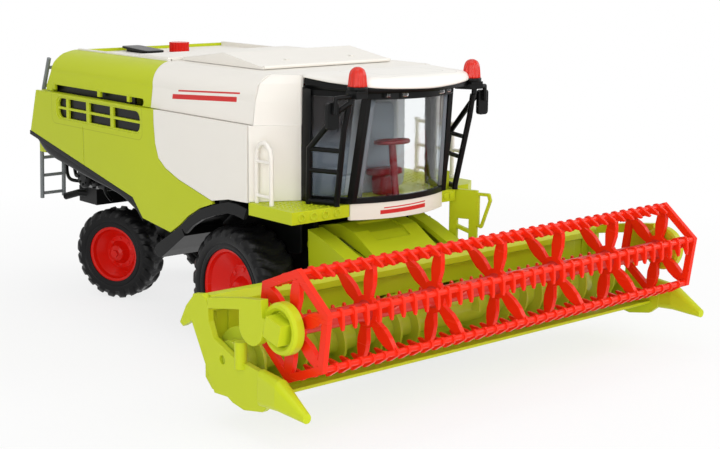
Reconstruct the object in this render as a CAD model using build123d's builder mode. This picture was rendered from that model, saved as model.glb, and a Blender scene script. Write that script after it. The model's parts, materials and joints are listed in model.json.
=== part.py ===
"""Toy combine harvester: a plastic model with a tined hexagonal reel, built piece by piece.

Frame: +X is the travel direction, +Y the machine's left, +Z up; the origin lies on the
ground in the middle of the footprint.  Drawing coordinates start DATUM_X behind it, and
write() moves every part there.  All lengths are millimetres.
"""
import math
import os

from build123d import *

os.makedirs("parts", exist_ok=True)

# ---------------------------------------------------------------- driving dimensions
WALL = 2.2                     # wall of the moulded shells
GAP = 0.3                      # gap between mouldings that meet along a seam
RUN_FIT = 0.05                 # radial clearance of a turning shaft

DATUM_X = 4.0                  # drawing origin, ahead of the middle of the footprint
SIDE_Y = 82.0                  # outer face of the lower side panels
WAIST_Z = 149.0                # seam between lower panels and upper shells
FLOOR_Z = 103.0                # underside of the floor plate
FLOOR_T = 3.0
DECK_Z = 179.0                 # top of the deck
REAR_X = -206.0                # rear end of the lower panels at the waist
HOOD_FRONT_X = -60.0           # seam between green hood and white shell
SHELL_FRONT_X = 51.0           # front end of the straight white sides
CORNER_X = 64.5                # front end of the slanting corner panels

FRONT_AXLE = (23.0, 41.5)      # x, z of the front axle
FRONT_TYRE_R = 41.5
FRONT_RIM_R = 27.6
FRONT_TYRE_W = 28.0
FRONT_WHEEL_Y = 63.6           # middle of the front tyres

REAR_AXLE = (-157.5, 33.2)     # x, z of the rear kingpins
REAR_TYRE_R = 33.2
REAR_RIM_R = 20.5
REAR_TYRE_W = 22.0
KINGPIN_Y = 34.5
REAR_OFFSET = 14.0             # kingpin to the middle of the rear tyre
STEER_DEG = 24.0               # the rear wheels stand turned by this at rest

PLATFORM_FRONT_X = 94.0
LADDER_TURN = 22.0             # the left ladder stands swung out by this, degrees from +X
PLATFORM_Z = (95.5, 103.0)
LANDING_REAR_X = 8.0           # rear wall of the open landing on the left
LANDING_Y = 26.5               # inner wall of the landing
DRAWBAR_X, DRAWBAR_R = -212.0, 3.0            # middle and radius of the drawbar's hole
LANDING_HEAD_Z = 168.0         # height up to which the landing is open
KNOB_X = -142.0                # steering knob on the deck
DECK_IN_Z = 177.0              # top of the white deck, sunk between the green shoulders
COVER_X = (-96.0, -61.0)       # raised cover behind the tank
TANK_X = (-55.0, 2.0)          # mouth of the grain tank
TANK_Y = 48.0
TANK_FLOOR_Z = 126.0
LID_Y = 53.0                   # half width of the tank's lid
LID_RIDGE_Z = 187.2
CAB_Y = 38.0                   # half width of the cab floor's front edge
CAB_SILL_Z = 104.0
CAB_HEAD_Z = 168.0
ROOF_Z = (172.0, 180.0)

REEL_AXIS = (180.0, 65.0)      # x, z
REEL_R = 28.8                  # centre of the bats
REEL_PHASE = 82.0              # direction of the first bat, degrees from +X
REEL_STATIONS = 7              # spiders across the width, ends included
TINES_PER_BAY = 5
TINE_LEAN = 2.0                # tines lean this far inwards from the reel's rim, degrees

AUGER_AXIS = (134.0, 39.0)     # x, z
AUGER_R = 16.0
AUGER_PITCH = 14.0
FLIGHT_START = 18.0            # flights start this far from the middle
FLIGHT_LENGTH = 132.0

HEADER_HALF = 157.0            # inner face of the header's end plates
REEL_HALF = HEADER_HALF - 7.0  # half width of the reel between the end rings' faces
HEADER_BACK_X = 113.0
FEEDER_HALF = 47.6             # half width of the feeder house
LIFT_PIVOT = (56.0, 72.0)      # x, z of the feeder house's pivot


# ---------------------------------------------------------------- small drawing aids
def plate(points, plane, amount, mode=Mode.ADD):
    """Extrude the closed outline of points, drawn on plane, by amount along its normal."""
    with BuildSketch(plane) as outline:
        with BuildLine():
            Polyline(*points, close=True)
        make_face()
    extrude(outline.sketch, amount=amount, mode=mode)


def block(x, y, z, mode=Mode.ADD):
    """Box given by its (low, high) limits on the three axes."""
    centre = [(low + high) / 2 for low, high in (x, y, z)]
    with Locations(tuple(centre)):
        Box(x[1] - x[0], y[1] - y[0], z[1] - z[0], mode=mode)


def rod(start, end, radius, mode=Mode.ADD):
    """Round bar from start to end."""
    run = Vector(*end) - Vector(*start)
    with BuildSketch(Plane(origin=start, z_dir=run.normalized())) as section:
        Circle(radius)
    extrude(section.sketch, amount=run.length, mode=mode)


def bar(start, end, width, depth):
    """Bar of rectangular section from start to end: width across Y, depth along X."""
    run = Vector(*end) - Vector(*start)
    with BuildSketch(Plane(origin=start, x_dir=(0, 1, 0), z_dir=run.normalized())) as section:
        Rectangle(width, depth)
    extrude(section.sketch, amount=run.length)


def rail(points, radius):
    """Round bar along a bent line, with a ball at every inner bend."""
    for start, end in zip(points, points[1:]):
        rod(start, end, radius)
    for bend in points[1:-1]:
        with Locations(bend):
            Sphere(radius)


def turned(profile, plane=Plane.YZ, axis_at=(0, 0, 0), mode=Mode.ADD):
    """Revolve a closed (y, radius) profile about the line along Y through axis_at."""
    with BuildSketch(plane) as half:
        with BuildLine():
            Polyline(*profile, close=True)
        make_face()
    revolve(half.sketch, axis=Axis(axis_at, (0, 1, 0)), mode=mode)


def right_side(depth):
    """XZ drawing plane at y = -depth; positive amounts go outwards."""
    return Plane.XZ.offset(depth)


def write(part, name):
    """Name the part and write its file."""
    part = part.moved(Location((DATUM_X, 0, 0)))
    part.label = name
    export_step(part, f"parts/{name}.step")


# ---------------------------------------------------------------- chassis
AX, AZ = FRONT_AXLE
RX, RZ = REAR_AXLE
with BuildPart() as chassis:
    block((REAR_X + 3, LANDING_REAR_X - 2.6), (-77, 77), (FLOOR_Z + 0.4, FLOOR_Z + FLOOR_T))
    block((0, 50.8), (-77, LANDING_Y - 2.6), (FLOOR_Z + 0.4, FLOOR_Z + FLOOR_T))
    block((50, 61), (-50, LANDING_Y - 2.6), (FLOOR_Z + 0.4, FLOOR_Z + FLOOR_T))
    block((-24, 60), (-37.8, 37.8), (30, FLOOR_Z - 2.8))
    block((-24, 60), (-37.8, LANDING_Y - 2.6), (FLOOR_Z - 5, FLOOR_Z + 1))
    block((-21, 66), (-34.5, 34.5), (33, FLOOR_Z - 6), mode=Mode.SUBTRACT)
    block((AX - 9, AX + 9), (-45, 45), (AZ - 9, AZ + 9))
    block((-172, -143), (-15, 15), (40, FLOOR_Z))
    block((-168, -147), (-11, 11), (44, FLOOR_Z + 5), mode=Mode.SUBTRACT)
    block((-143, -24), (-10, 10), (88, FLOOR_Z))
    rod((AX, -60, AZ), (AX, 60, AZ), 3.0 + RUN_FIT, mode=Mode.SUBTRACT)
    rod((LIFT_PIVOT[0], -60, LIFT_PIVOT[1]), (LIFT_PIVOT[0], 60, LIFT_PIVOT[1]),
        3.0 + RUN_FIT, mode=Mode.SUBTRACT)
write(chassis.part, "chassis")

with BuildPart() as front_axle:
    rod((AX, -68.6, AZ), (AX, 68.6, AZ), 3.0)
write(front_axle.part, "front_axle")

with BuildPart() as rear_axle:
    block((RX - 4, RX + 4), (-26, 26), (RZ - 5, RZ + 5))
    block((RX - 8, RX + 8), (-14, 14), (RZ - 4, 39.7))
    for side in (-1, 1):
        for low, high in ((RZ - 9.5, RZ - 6.5), (RZ + 6.5, RZ + 9.5)):
            block((RX - 4, RX + 4), tuple(sorted((side * 20, side * KINGPIN_Y))), (low, high))
            with Locations((RX, side * KINGPIN_Y, (low + high) / 2)):
                Cylinder(4.0, high - low)
        block((RX - 4, RX + 4), tuple(sorted((side * 20, side * 26))), (RZ - 8, RZ + 8))
        rod((RX, side * KINGPIN_Y, RZ - 12), (RX, side * KINGPIN_Y, RZ + 12),
            2.0 + RUN_FIT, mode=Mode.SUBTRACT)
write(rear_axle.part, "rear_axle")

# A knuckle for the right side, its wheel axis along -Y before it is turned to rest.
with BuildPart() as knuckle:
    Cylinder(4.0, 12.6)
    Cylinder(2.0, 19.0)
    rod((0, -1, 0), (0, -REAR_OFFSET - 4, 0), 2.5)
for name, side in (("knuckle_right", -1), ("knuckle_left", 1)):
    turn = STEER_DEG + (180 if side > 0 else 0)
    write(knuckle.part.moved(Location((RX, side * KINGPIN_Y, RZ), (0, 0, turn))), name)


# ---------------------------------------------------------------- wheels
# Each wheel is drawn round the Y axis with its outer face towards -Y.
def tyre_shape(radius, rim, bore, width, lug, lugs):
    """Tyre with slanting lugs: radius over the lugs, rim lip, bore, width, lug height, count."""
    body, half = radius - lug, width / 2
    sides = 2 * lugs
    profile = ((-half, body - 5.4), (-half + 3.2, body - 1.0), (0, body),
               (half - 3.2, body - 1.0), (half, body - 5.4))
    with BuildPart() as tyre:
        for (y0, r0), (y1, r1) in zip(profile, profile[1:]):
            rings = []
            for y, r in ((y0, r0), (y1, r1)):
                with BuildSketch(Plane.XZ.offset(-y)) as ring:
                    RegularPolygon(r, sides)
                rings.append(ring.sketch)
            loft(rings, ruled=True)
        with BuildSketch(Plane.XZ.offset(half + 1)) as hole:
            Circle(bore)
        extrude(hole.sketch, amount=-width - 2, mode=Mode.SUBTRACT)
        with BuildSketch(Plane.XZ.offset(half + 1)) as seat:
            Circle(rim + 0.1)
        extrude(seat.sketch, amount=-1 - 4.6, mode=Mode.SUBTRACT)
        spots = []
        for side in (-1, 1):
            shift = 0 if side < 0 else 180 / lugs
            tilt = Location((0, side * half * 0.54, body + lug / 2 - 0.6), (0, 0, side * 30))
            spots += [Location((0, 0, 0), (0, shift + index * 360 / lugs, 0)) * tilt
                      for index in range(lugs)]
        with Locations(*spots):
            Box(0.38 * math.tau * radius / lugs, half * 1.0, lug + 1.2)
    return tyre.part


def rim_shape(radius, bore, width, pin, web, bolts):
    """Dished rim: outer radius, tyre bore, width, pin radius, web depth, bolt recesses."""
    half = width / 2
    with BuildPart() as rim:
        turned([(-half, radius - 1.2), (-half, radius), (-half + 1.6, radius),
                (-half + 2.4, bore - 0.1), (half - 1, bore - 0.1), (half - 1, bore - 3.2),
                (web + 3, bore - 4.4), (web + 2.6, 7.5), (half - 1, 6.8), (half - 1, pin + RUN_FIT),
                (web - 5, pin + RUN_FIT), (web - 5, 0), (web - 7.5, 0), (web - 7.5, 3.4),
                (web - 6.2, 5.6), (web - 1, 8.4), (web, radius * 0.56), (-half + 3, radius - 3.4),
                (-half + 0.4, radius - 2.4)])
        with BuildSketch(Plane.XZ.offset(-web)) as heads:
            with PolarLocations(radius * 0.46, bolts):
                Circle(radius * 0.06)
        extrude(heads.sketch, amount=1.0)
        with BuildSketch(Plane.XZ.offset(7.4 - web)) as nut:
            RegularPolygon(2.9, 6)
        extrude(nut.sketch, amount=1.6)
    return rim.part


front_tyre = tyre_shape(FRONT_TYRE_R, FRONT_RIM_R, FRONT_RIM_R - 1.2, FRONT_TYRE_W, 2.6, 20)
front_rim = rim_shape(FRONT_RIM_R, FRONT_RIM_R - 1.2, FRONT_TYRE_W - 4, 3.0, -1.0, 8)
rear_tyre = tyre_shape(REAR_TYRE_R, REAR_RIM_R, REAR_RIM_R - 1.0, REAR_TYRE_W, 2.2, 18)
rear_rim = rim_shape(REAR_RIM_R, REAR_RIM_R - 1.0, REAR_TYRE_W - 4, 2.5, 0.5, 8)
SIDES = (("right", -1), ("left", 1))
for name, side in SIDES:
    spin = 0 if side < 0 else 180
    front = Location((AX, side * FRONT_WHEEL_Y, AZ), (0, 0, spin))
    write(front_tyre.moved(front), f"tyre_front_{name}")
    write(front_rim.moved(front), f"rim_front_{name}")
    swing = Location((RX, side * KINGPIN_Y, RZ), (0, 0, STEER_DEG + spin))
    rear = swing * Location((0, -REAR_OFFSET, 0))
    write(rear_tyre.moved(rear), f"tyre_rear_{name}")
    write(rear_rim.moved(rear), f"rim_rear_{name}")

# ---------------------------------------------------------------- lower side panels
# Outline of the front fender's outer surface, (x, z) from the front end down to the rear.
FENDER_LINE = [(50, 98.8), (40, 100.3), (31, 100.3), (14, 95.8), (0, 91.0), (-13, 84.0),
               (-21.2, 77.4), (-32.6, 70.4), (-46, 62.6), (-50.8, 59.4)]
ARCH_LINE = [(14, 96.6), (0, 91.9), (-13, 84.9), (-21.4, 78.6), (-33.2, 71.3)]
SEAM_LINE = [(-51, WAIST_Z), (-51, 140), (-49.5, 127), (-46, 118), (-38, 112.5), (-23, 107), (13.4, 98.4)]
GREEN_SIDE = [(REAR_X, WAIST_Z)] + SEAM_LINE + ARCH_LINE + [(-66, 75.6), (-78, 88), (-216, 118.6)]
WHITE_SIDE = [(x + 0.4, z + 0.3) for x, z in SEAM_LINE] + [(31, 102), (50.6, 102.6), (50.6, WAIST_Z)]
VENT_ROWS = ((132.4, 138.3), (140.0, 146.2))          # low, high
VENT_COLUMNS = ((-175.0, -164.0), (-160.5, -136.5), (-132.5, -105.0), (-101.0, -68.0))
VENT_MIDDLE = ((VENT_COLUMNS[0][0] + VENT_COLUMNS[-1][1]) / 2, (VENT_ROWS[0][0] + VENT_ROWS[-1][1]) / 2)
VENT_SIZE = (VENT_COLUMNS[-1][1] - VENT_COLUMNS[0][0], VENT_ROWS[-1][1] - VENT_ROWS[0][0])

with BuildPart() as green_side:
    plate(GREEN_SIDE, right_side(SIDE_Y - WALL), WALL)
    block((REAR_X + 3, -51), (-SIDE_Y, -75), (WAIST_Z - 2, WAIST_Z))
    with BuildSketch(right_side(SIDE_Y - 0.6)) as recess:
        with Locations(VENT_MIDDLE):
            RectangleRounded(VENT_SIZE[0] + 4, VENT_SIZE[1] + 2.4, 5.5)
    extrude(recess.sketch, amount=2, mode=Mode.SUBTRACT)
    with BuildSketch(right_side(SIDE_Y - WALL - 1)) as grille:
        for low, high in VENT_COLUMNS:
            for z in VENT_ROWS:
                with Locations(((low + high) / 2, (z[0] + z[1]) / 2)):
                    Rectangle(high - low, z[1] - z[0])
        with Locations(VENT_MIDDLE):
            RectangleRounded(*VENT_SIZE, 5.0, mode=Mode.INTERSECT)
    extrude(grille.sketch, amount=WALL + 2, mode=Mode.SUBTRACT)
    block((-141.3, -140.7), (-SIDE_Y - 1, -SIDE_Y + 0.4), (105, 129), mode=Mode.SUBTRACT)
with BuildPart() as white_side:
    plate(WHITE_SIDE, right_side(SIDE_Y - WALL), WALL)
    block((-50.4, 50.6), (-SIDE_Y, -75), (WAIST_Z - 2, WAIST_Z))
with BuildPart() as skirt:
    plate([(-216, 118.2), (-78, 87.6), (-66, 75.2), (-62, 79.5), (-73, 92.5), (-214.6, 125)],
          right_side(SIDE_Y - WALL - 2.3), 2.0)
    plate([(-216, 118.2), (-78, 87.6), (-66, 75.2), (-66, 73.4), (-80, 85.6), (-217.5, 115.6),
           (-217.5, 118.4)], right_side(SIDE_Y - WALL - 2.3), 4.4)
with BuildPart() as vent_back:
    block((-184, -62), (-79.5, -78.2), (128, 146.4))
    block((-190, -86), (-78.4, -72.2), (145.2, 146.4))          # shelf and screen behind the hood's gap
    block((-190, -86), (-73.4, -72.2), (145.2, 156))

with BuildPart() as white_left:
    add(white_side.part.mirror(Plane.XZ))
    block((LANDING_REAR_X - 2.4, 60), (70, 90), (FLOOR_Z - 10, WAIST_Z + 2), mode=Mode.SUBTRACT)
write(green_side.part, "panel_green_right")
write(green_side.part.mirror(Plane.XZ), "panel_green_left")
write(white_side.part, "panel_white_right")
write(white_left.part, "panel_white_left")
for stem, source in (("skirts", skirt), ("vent_backs", vent_back)):
    with BuildPart() as pair:
        add(source.part)
        mirror(about=Plane.XZ)
    write(pair.part, stem)

# ---------------------------------------------------------------- front fenders
with BuildPart() as fender:
    inner = [(x + (23 - x) * 0.045, z - (z - 41.5) * 0.045) for x, z in FENDER_LINE]
    plate(FENDER_LINE + inner[::-1], right_side(50), 32)
    lip = [(x + (23 - x) * 0.12, z - (z - 41.5) * 0.12) for x, z in FENDER_LINE[:7]]
    plate(FENDER_LINE[:7] + lip[::-1], right_side(79.5), 2.5)
    plate(FENDER_LINE[6:] + [(-52.4, 56.2), (-49.6, 53.0), (-45, 52.4), (-35.6, 58.6), (-29, 63.2),
                             (-17, 71.4)], right_side(50), 32)
with BuildPart() as fenders:
    add(fender.part)
    mirror(about=Plane.XZ)
write(fenders.part, "fenders")


# ---------------------------------------------------------------- upper shells
def upper_section(inset):
    """Cross-section of the upper body with its round shoulders, pulled in by inset."""
    low, shoulder, top = WAIST_Z + 0.4 - inset, 163.0, DECK_Z - inset
    with BuildLine() as section:
        for side in (-1, 1):
            Line((side * (78 - inset), low), (side * (76.2 - inset), shoulder))
            ThreePointArc((side * (76.2 - inset), shoulder), (side * (72.9 - inset), top - 5.2),
                          (side * (64 - inset), top))
        Line((-64 + inset, top), (64 - inset, top))
        Line((-78 + inset, low), (78 - inset, low))
    return section.line


def upper_shell(side_view, inner_view):
    """Hollow hood: where the cross-section and a side view meet, less the same pulled in."""
    def solid(outline, inset, mode):
        with BuildSketch(Plane.YZ.offset(-230)) as section:
            add(upper_section(inset))
            make_face()
        plate(outline, right_side(90), -180)
        extrude(section.sketch, amount=320, mode=mode)

    solid(side_view, 0, Mode.INTERSECT)
    with BuildPart(mode=Mode.PRIVATE) as core:
        solid(inner_view, WALL, Mode.INTERSECT)
    add(core.part, mode=Mode.SUBTRACT)


HOOD_REAR = [(-198, 140), (-198, 153), (-190.5, 170), (-185.5, 176.2), (-179, 179.2), (-170, 182)]
LIFT_GAP = (-190.0, -71.3, 149.3, 154.3)     # rear x, front x, low z, high z of the hood's lower gap
with BuildPart() as hood:
    upper_shell(HOOD_REAR + [(HOOD_FRONT_X, 182), (HOOD_FRONT_X, 140)],
                [(-195, 130), (-195, 153.5), (-188.2, 168.6), (-183.0, 173.6), (-50, 173.6),
                 (-50, 130)])
    block((LIFT_GAP[0], LIFT_GAP[1]), (-90, 90), (140, LIFT_GAP[3]), mode=Mode.SUBTRACT)
    rod((LIFT_GAP[1], -90, LIFT_GAP[3] - 2.5), (LIFT_GAP[1], 90, LIFT_GAP[3] - 2.5), 2.5,
        mode=Mode.SUBTRACT)
    for x in (-188.0, -126.0, -88.0):
        for side in (-1, 1):
            block((x - 1.6, x + 1.6), tuple(sorted((side * 75.4, side * 77.6))),
                  (150.6, LIFT_GAP[3] + 1))
    block((-176, -59), (-64, 64), (DECK_IN_Z - 1.2, DECK_Z + 3), mode=Mode.SUBTRACT)
    block((KNOB_X - 9, KNOB_X + 9), (-9, 9), (DECK_IN_Z - 5, DECK_IN_Z - 1.2))
    rod((KNOB_X, 0, DECK_Z - 10), (KNOB_X, 0, DECK_Z + 5), 4.1, mode=Mode.SUBTRACT)
write(hood.part, "hood")

# White deck between the green shoulders, and the raised hinge cover before the tank.
with BuildPart() as deck:
    block((-175.8, HOOD_FRONT_X - 0.2), (-63.8, 63.8), (DECK_IN_Z - 1.2, DECK_IN_Z))
    for y in ((-63.8, -61.4), (61.4, 63.8)):                   # raised rims beside the sunk floor
        block((-175.8, HOOD_FRONT_X - 0.2), y, (DECK_IN_Z - 0.5, DECK_Z + 1.0))
    block(COVER_X, (-63, 63), (DECK_Z + 1.0, DECK_Z + 2.4))
    block((COVER_X[0], COVER_X[0] + 2.5), (-63, 63), (DECK_IN_Z - 0.5, DECK_Z + 1.5))
    block(COVER_X, (-60, 60), (DECK_IN_Z - 0.5, DECK_Z + 1.5))
    rod((KNOB_X, 0, DECK_Z - 8), (KNOB_X, 0, DECK_Z + 5), 4.1, mode=Mode.SUBTRACT)
write(deck.part, "deck")

with BuildPart() as top_shell:
    upper_shell([(HOOD_FRONT_X + GAP, 140), (HOOD_FRONT_X + GAP, 182), (SHELL_FRONT_X, 182),
                 (SHELL_FRONT_X, 140)],
                [(HOOD_FRONT_X - 5, 130), (HOOD_FRONT_X - 5, 182), (SHELL_FRONT_X + 5, 182),
                 (SHELL_FRONT_X + 5, 130)])
    block((LANDING_REAR_X - 2.2, 60), (LANDING_Y - 2.6, 90), (140, LANDING_HEAD_Z), mode=Mode.SUBTRACT)
    plate([(SHELL_FRONT_X, -61.8), (SHELL_FRONT_X, 61.8), (66.2, 50.8), (66.2, -50.8)],
          Plane.XY.offset(DECK_Z - WALL), WALL)
    block(TANK_X, (-TANK_Y, TANK_Y), (DECK_Z - 5, DECK_Z + 5), mode=Mode.SUBTRACT)
    bin_rings = []
    for grow in (0, WALL):
        with BuildSketch(Plane.XY.offset(DECK_Z - 0.6)) as mouth:
            with Locations(((TANK_X[0] + TANK_X[1]) / 2, 0)):
                Rectangle(TANK_X[1] - TANK_X[0] + 2 * grow, 2 * (TANK_Y + grow))
        with BuildSketch(Plane.XY.offset(TANK_FLOOR_Z - grow)) as foot:
            with Locations(((TANK_X[0] + TANK_X[1]) / 2, 0)):
                Rectangle(0.6 * (TANK_X[1] - TANK_X[0]) + 2 * grow, 2 * (0.7 * TANK_Y + grow))
        bin_rings.append([foot.sketch, mouth.sketch])
    loft(bin_rings[1], ruled=True)
    loft(bin_rings[0], ruled=True, mode=Mode.SUBTRACT)
write(top_shell.part, "top_shell")

# Corner panel: flat below the waist, above it a skin between the shell's section and a straight edge.
CORNER_TOP = ((-78, -53.2, WAIST_Z + 0.2), (-76.2, -53.5, 163), (-72.9, -53.4, 173.8),
              (-64.2, -53.2, DECK_Z), (-62.2, -51.2, DECK_Z), (-62.2, -51.2, DECK_Z - WALL),
              (-70.6, -51.5, 171.8), (-74, -51.6, 163), (-75.8, -51.2, WAIST_Z + 0.2))   # y rear, y front, z
with BuildPart() as corner:
    outer = [(51.3, -81.5), (66.5, -53.2), (64.1, -52.4), (51.3, -77)]
    plate(outer, Plane.XY.offset(FLOOR_Z + 0.2), WAIST_Z - FLOOR_Z)
    ends = []
    for column, x in ((0, SHELL_FRONT_X + GAP), (1, 66.3)):
        with BuildSketch(Plane.YZ.offset(x)) as end:
            with BuildLine():
                Polyline(*[(row[column], row[2]) for row in CORNER_TOP], close=True)
            make_face()
        ends.append(end.sketch)
    loft(ends, ruled=True)
with BuildPart() as corner_left:
    add(corner.part.mirror(Plane.XZ))
    block((40, 80), (40, 90), (90, LANDING_HEAD_Z), mode=Mode.SUBTRACT)
write(corner.part, "corner_right")
write(corner_left.part, "corner_left")

# Walls of the open landing beside the cab: across the machine, then along it.
with BuildPart() as landing_walls:
    plate([(LANDING_Y - 2.2, FLOOR_Z + 0.2), (79.4, FLOOR_Z + 0.2), (79.4, WAIST_Z - 2.4),
           (75.2, WAIST_Z - 2.4), (73.4, 163), (70.0, 171), (61.4, 176.2), (LANDING_Y - 2.2, 176.2)],
          Plane.YZ.offset(LANDING_REAR_X - 2.2), 2.2)
    block((LANDING_REAR_X - 2.2, 64.2), (LANDING_Y - 2.2, LANDING_Y),
          (FLOOR_Z + 0.2, DECK_Z - WALL - 0.4))
write(landing_walls.part, "landing_walls")

LID_X = (-59.0, -13.5, 28.0)                  # rear edge, ridge, hinged front edge
with BuildPart() as tank_lid:
    plate([(LID_X[0], DECK_Z + 0.3), (LID_X[0], DECK_Z + 1.8), (LID_X[1], LID_RIDGE_Z),
           (LID_X[2], DECK_Z + 1.8), (LID_X[2], DECK_Z + 0.3)], right_side(LID_Y), -2 * LID_Y)
    plate([(LID_X[0] + 3, DECK_Z), (LID_X[0] + 3, DECK_Z + 0.8), (LID_X[1], LID_RIDGE_Z - 1.8),
           (LID_X[2] - 3, DECK_Z + 0.8), (LID_X[2] - 3, DECK_Z)], right_side(LID_Y - 2),
          -2 * (LID_Y - 2), mode=Mode.SUBTRACT)
    rod((LID_X[2], -LID_Y + 1, DECK_Z + 1.5), (LID_X[2], LID_Y - 1, DECK_Z + 1.5), 1.2)
    for y in (-23.0, 31.0):
        block((12, 15), (y - 1.5, y + 1.5), (DECK_Z + 3, DECK_Z + 4.6))
write(tank_lid.part, "tank_lid")

with BuildPart() as knob:
    rod((KNOB_X, 0, DECK_IN_Z + 0.3), (KNOB_X, 0, DECK_IN_Z + 7.0), 7.2)
    rod((KNOB_X, 0, DECK_IN_Z - 6), (KNOB_X, 0, DECK_IN_Z + 0.5), 4.0)
    with Locations((KNOB_X, 0, DECK_IN_Z + 3.7)):
        with PolarLocations(7.5, 18):
            Cylinder(0.8, 6.6, mode=Mode.SUBTRACT)
write(knob.part, "steering_knob")

with BuildPart() as intake:
    plate([(-172, DECK_IN_Z), (-168, DECK_IN_Z + 3.4), (-137, DECK_IN_Z + 3.0), (-137, DECK_IN_Z)],
          right_side(31), -16)
write(intake.part, "deck_intake")

# ---------------------------------------------------------------- rear end
with BuildPart() as rear_wall:
    plate([(-206.4, WAIST_Z), (-203.4, WAIST_Z), (-203.4, FLOOR_Z), (-212, FLOOR_Z), (-212, 112)],
          right_side(77.2), -154.4)
write(rear_wall.part, "rear_wall")

LADDER_LINE = [(-216.8, 67.0), (-214.4, 112.0), (-208.9, 149.5), (-199.6, 172.0)]     # x, z
with BuildPart() as rear_ladder:
    for y in (-74.0, -56.0):
        rail([(x, y, z) for x, z in LADDER_LINE], 1.5)
        block((-210.0, -207.1), (y - 1.2, y + 1.2), (145.6, 148.4))
        block((-215.4, -212.2), (y - 1.2, y + 1.2), (105, 108))
    for z in (70.5, 84.0, 97.5, 111.0, 124.5, 138.0, 151.5, 165.0):
        low, high = next(pair for pair in zip(LADDER_LINE, LADDER_LINE[1:]) if z <= pair[1][1])
        x = low[0] + (high[0] - low[0]) * (z - low[1]) / (high[1] - low[1])
        rod((x, -74, z), (x, -56, z), 1.2)
write(rear_ladder.part, "rear_ladder")

with BuildPart() as spreader:
    block((-204, -179), (-50, 50), (64, 76))
    block((-202, -181), (-48, 48), (62, 74), mode=Mode.SUBTRACT)
    block((-198, -184), (-14, 14), (75.5, FLOOR_Z - 0.2))
    for y in (-44.0, 44.0):                                    # outlet pipe and stay at each end
        rail([(-190, y, 70), (-200, y * 1.2, 71), (-212, y * 1.3, 67)], 2.6)
        rod((-192, y, 75), (-199, y, FLOOR_Z - 0.2), 1.5)
write(spreader.part, "spreader")

with BuildPart() as hitch:
    block((DRAWBAR_X + DRAWBAR_R + 2.5, -200), (-8, 8), (86, FLOOR_Z - 0.2))
    block((DRAWBAR_X - DRAWBAR_R - 2, -200), (-8, 8), (86, 90))
    rod((DRAWBAR_X, 0, 80), (DRAWBAR_X, 0, 95), DRAWBAR_R, mode=Mode.SUBTRACT)
write(hitch.part, "tow_hitch")

# ---------------------------------------------------------------- platforms and ladder
with BuildPart() as platform_right:
    block((52, PLATFORM_FRONT_X), (-SIDE_Y, -CAB_Y - 0.3), PLATFORM_Z)
    block((54, PLATFORM_FRONT_X - 2), (-SIDE_Y + 2, -CAB_Y - 2.3), (90, 100.5), mode=Mode.SUBTRACT)
    for y in (-75, -66, -57, -48):
        with BuildSketch(Plane.YZ.offset(PLATFORM_FRONT_X - 0.2)) as ring:
            with Locations((y, 99.2)):
                Circle(2.6)
                Circle(1.6, mode=Mode.SUBTRACT)
        extrude(ring.sketch, amount=0.9)
write(platform_right.part, "platform_right")

LANDING_PLAN = [(LANDING_REAR_X + 0.4, SIDE_Y), (77, SIDE_Y), (86, 70), (86, 50.5),
                (PLATFORM_FRONT_X, 50.5), (PLATFORM_FRONT_X, CAB_Y + 0.3), (60.8, CAB_Y + 0.3),
                (60.8, LANDING_Y + 0.4), (LANDING_REAR_X + 0.4, LANDING_Y + 0.4)]
LADDER = Plane(origin=(89.6, 49.6, 0), x_dir=(math.cos(math.radians(LADDER_TURN)),
                                              math.sin(math.radians(LADDER_TURN)), 0),
               z_dir=(math.sin(math.radians(LADDER_TURN)), -math.cos(math.radians(LADDER_TURN)), 0))
with BuildPart() as platform_left:
    plate(LANDING_PLAN, Plane.XY.offset(100.7), 2.3)
    plate([(52.4, SIDE_Y), (77, SIDE_Y), (86, 70), (86, 50.5), (PLATFORM_FRONT_X, 50.5),
           (PLATFORM_FRONT_X, CAB_Y + 0.3), (52.4, CAB_Y + 0.3)], Plane.XY.offset(95.5), 6)
    plate([(54.4, 80), (76, 80), (84, 69), (84, 48.5), (92, 48.5), (92, CAB_Y + 2.3),
           (54.4, CAB_Y + 2.3)], Plane.XY.offset(90), 10.7, mode=Mode.SUBTRACT)
    with BuildSketch(Plane.YZ.offset(PLATFORM_FRONT_X - 0.2)) as rings:
        with Locations((42, 99.2), (47, 99.2)):
            Circle(2.2)
    extrude(rings.sketch, amount=0.9)
    with BuildSketch(Plane.YZ.offset(86)) as lug:
        with Locations((47.8, 106)):
            SlotOverall(17, 2.6, rotation=90)
    extrude(lug.sketch, amount=3.4)
    # The swung-out ladder: block, two posts, panel, rung and grab loop, seen in its own plane.
    with BuildSketch(LADDER) as ladder:
        with BuildLine():
            Polyline((-5, 95), (-5, 102.8), (19, 102.8), (19, 70), (13.6, 70), (13.6, 84),
                     (5.4, 84), (5.4, 70), (0, 70), (0, 95), close=True)
        make_face()
        with BuildLine():
            Polyline((5, 80), (5, 77.6), (14, 74.6), (14, 77), close=True)
        make_face()
    extrude(ladder.sketch, amount=-2.6)
    with BuildSketch(LADDER) as loop:
        with BuildLine():
            Polyline((18.5, 101.5), (27.3, 101.5), (28.6, 97), (22.5, 78.5), (18.5, 80), close=True)
        make_face()
        fillet(loop.vertices(), 1.0)
        offset(amount=-1.8, mode=Mode.SUBTRACT)
    extrude(loop.sketch, amount=-2.2)
write(platform_left.part, "platform_left")


def front_arc(half, at, bulge, thick):
    """Closed strip that bows forward between y = -half and half."""
    with BuildLine() as strip:
        ThreePointArc((at, -half), (at + bulge, 0), (at, half))
        Line((at, half), (at - thick, half))
        ThreePointArc((at - thick, half), (at + bulge - thick, 0), (at - thick, -half))
        Line((at - thick, -half), (at, -half))
    return strip.line


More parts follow.
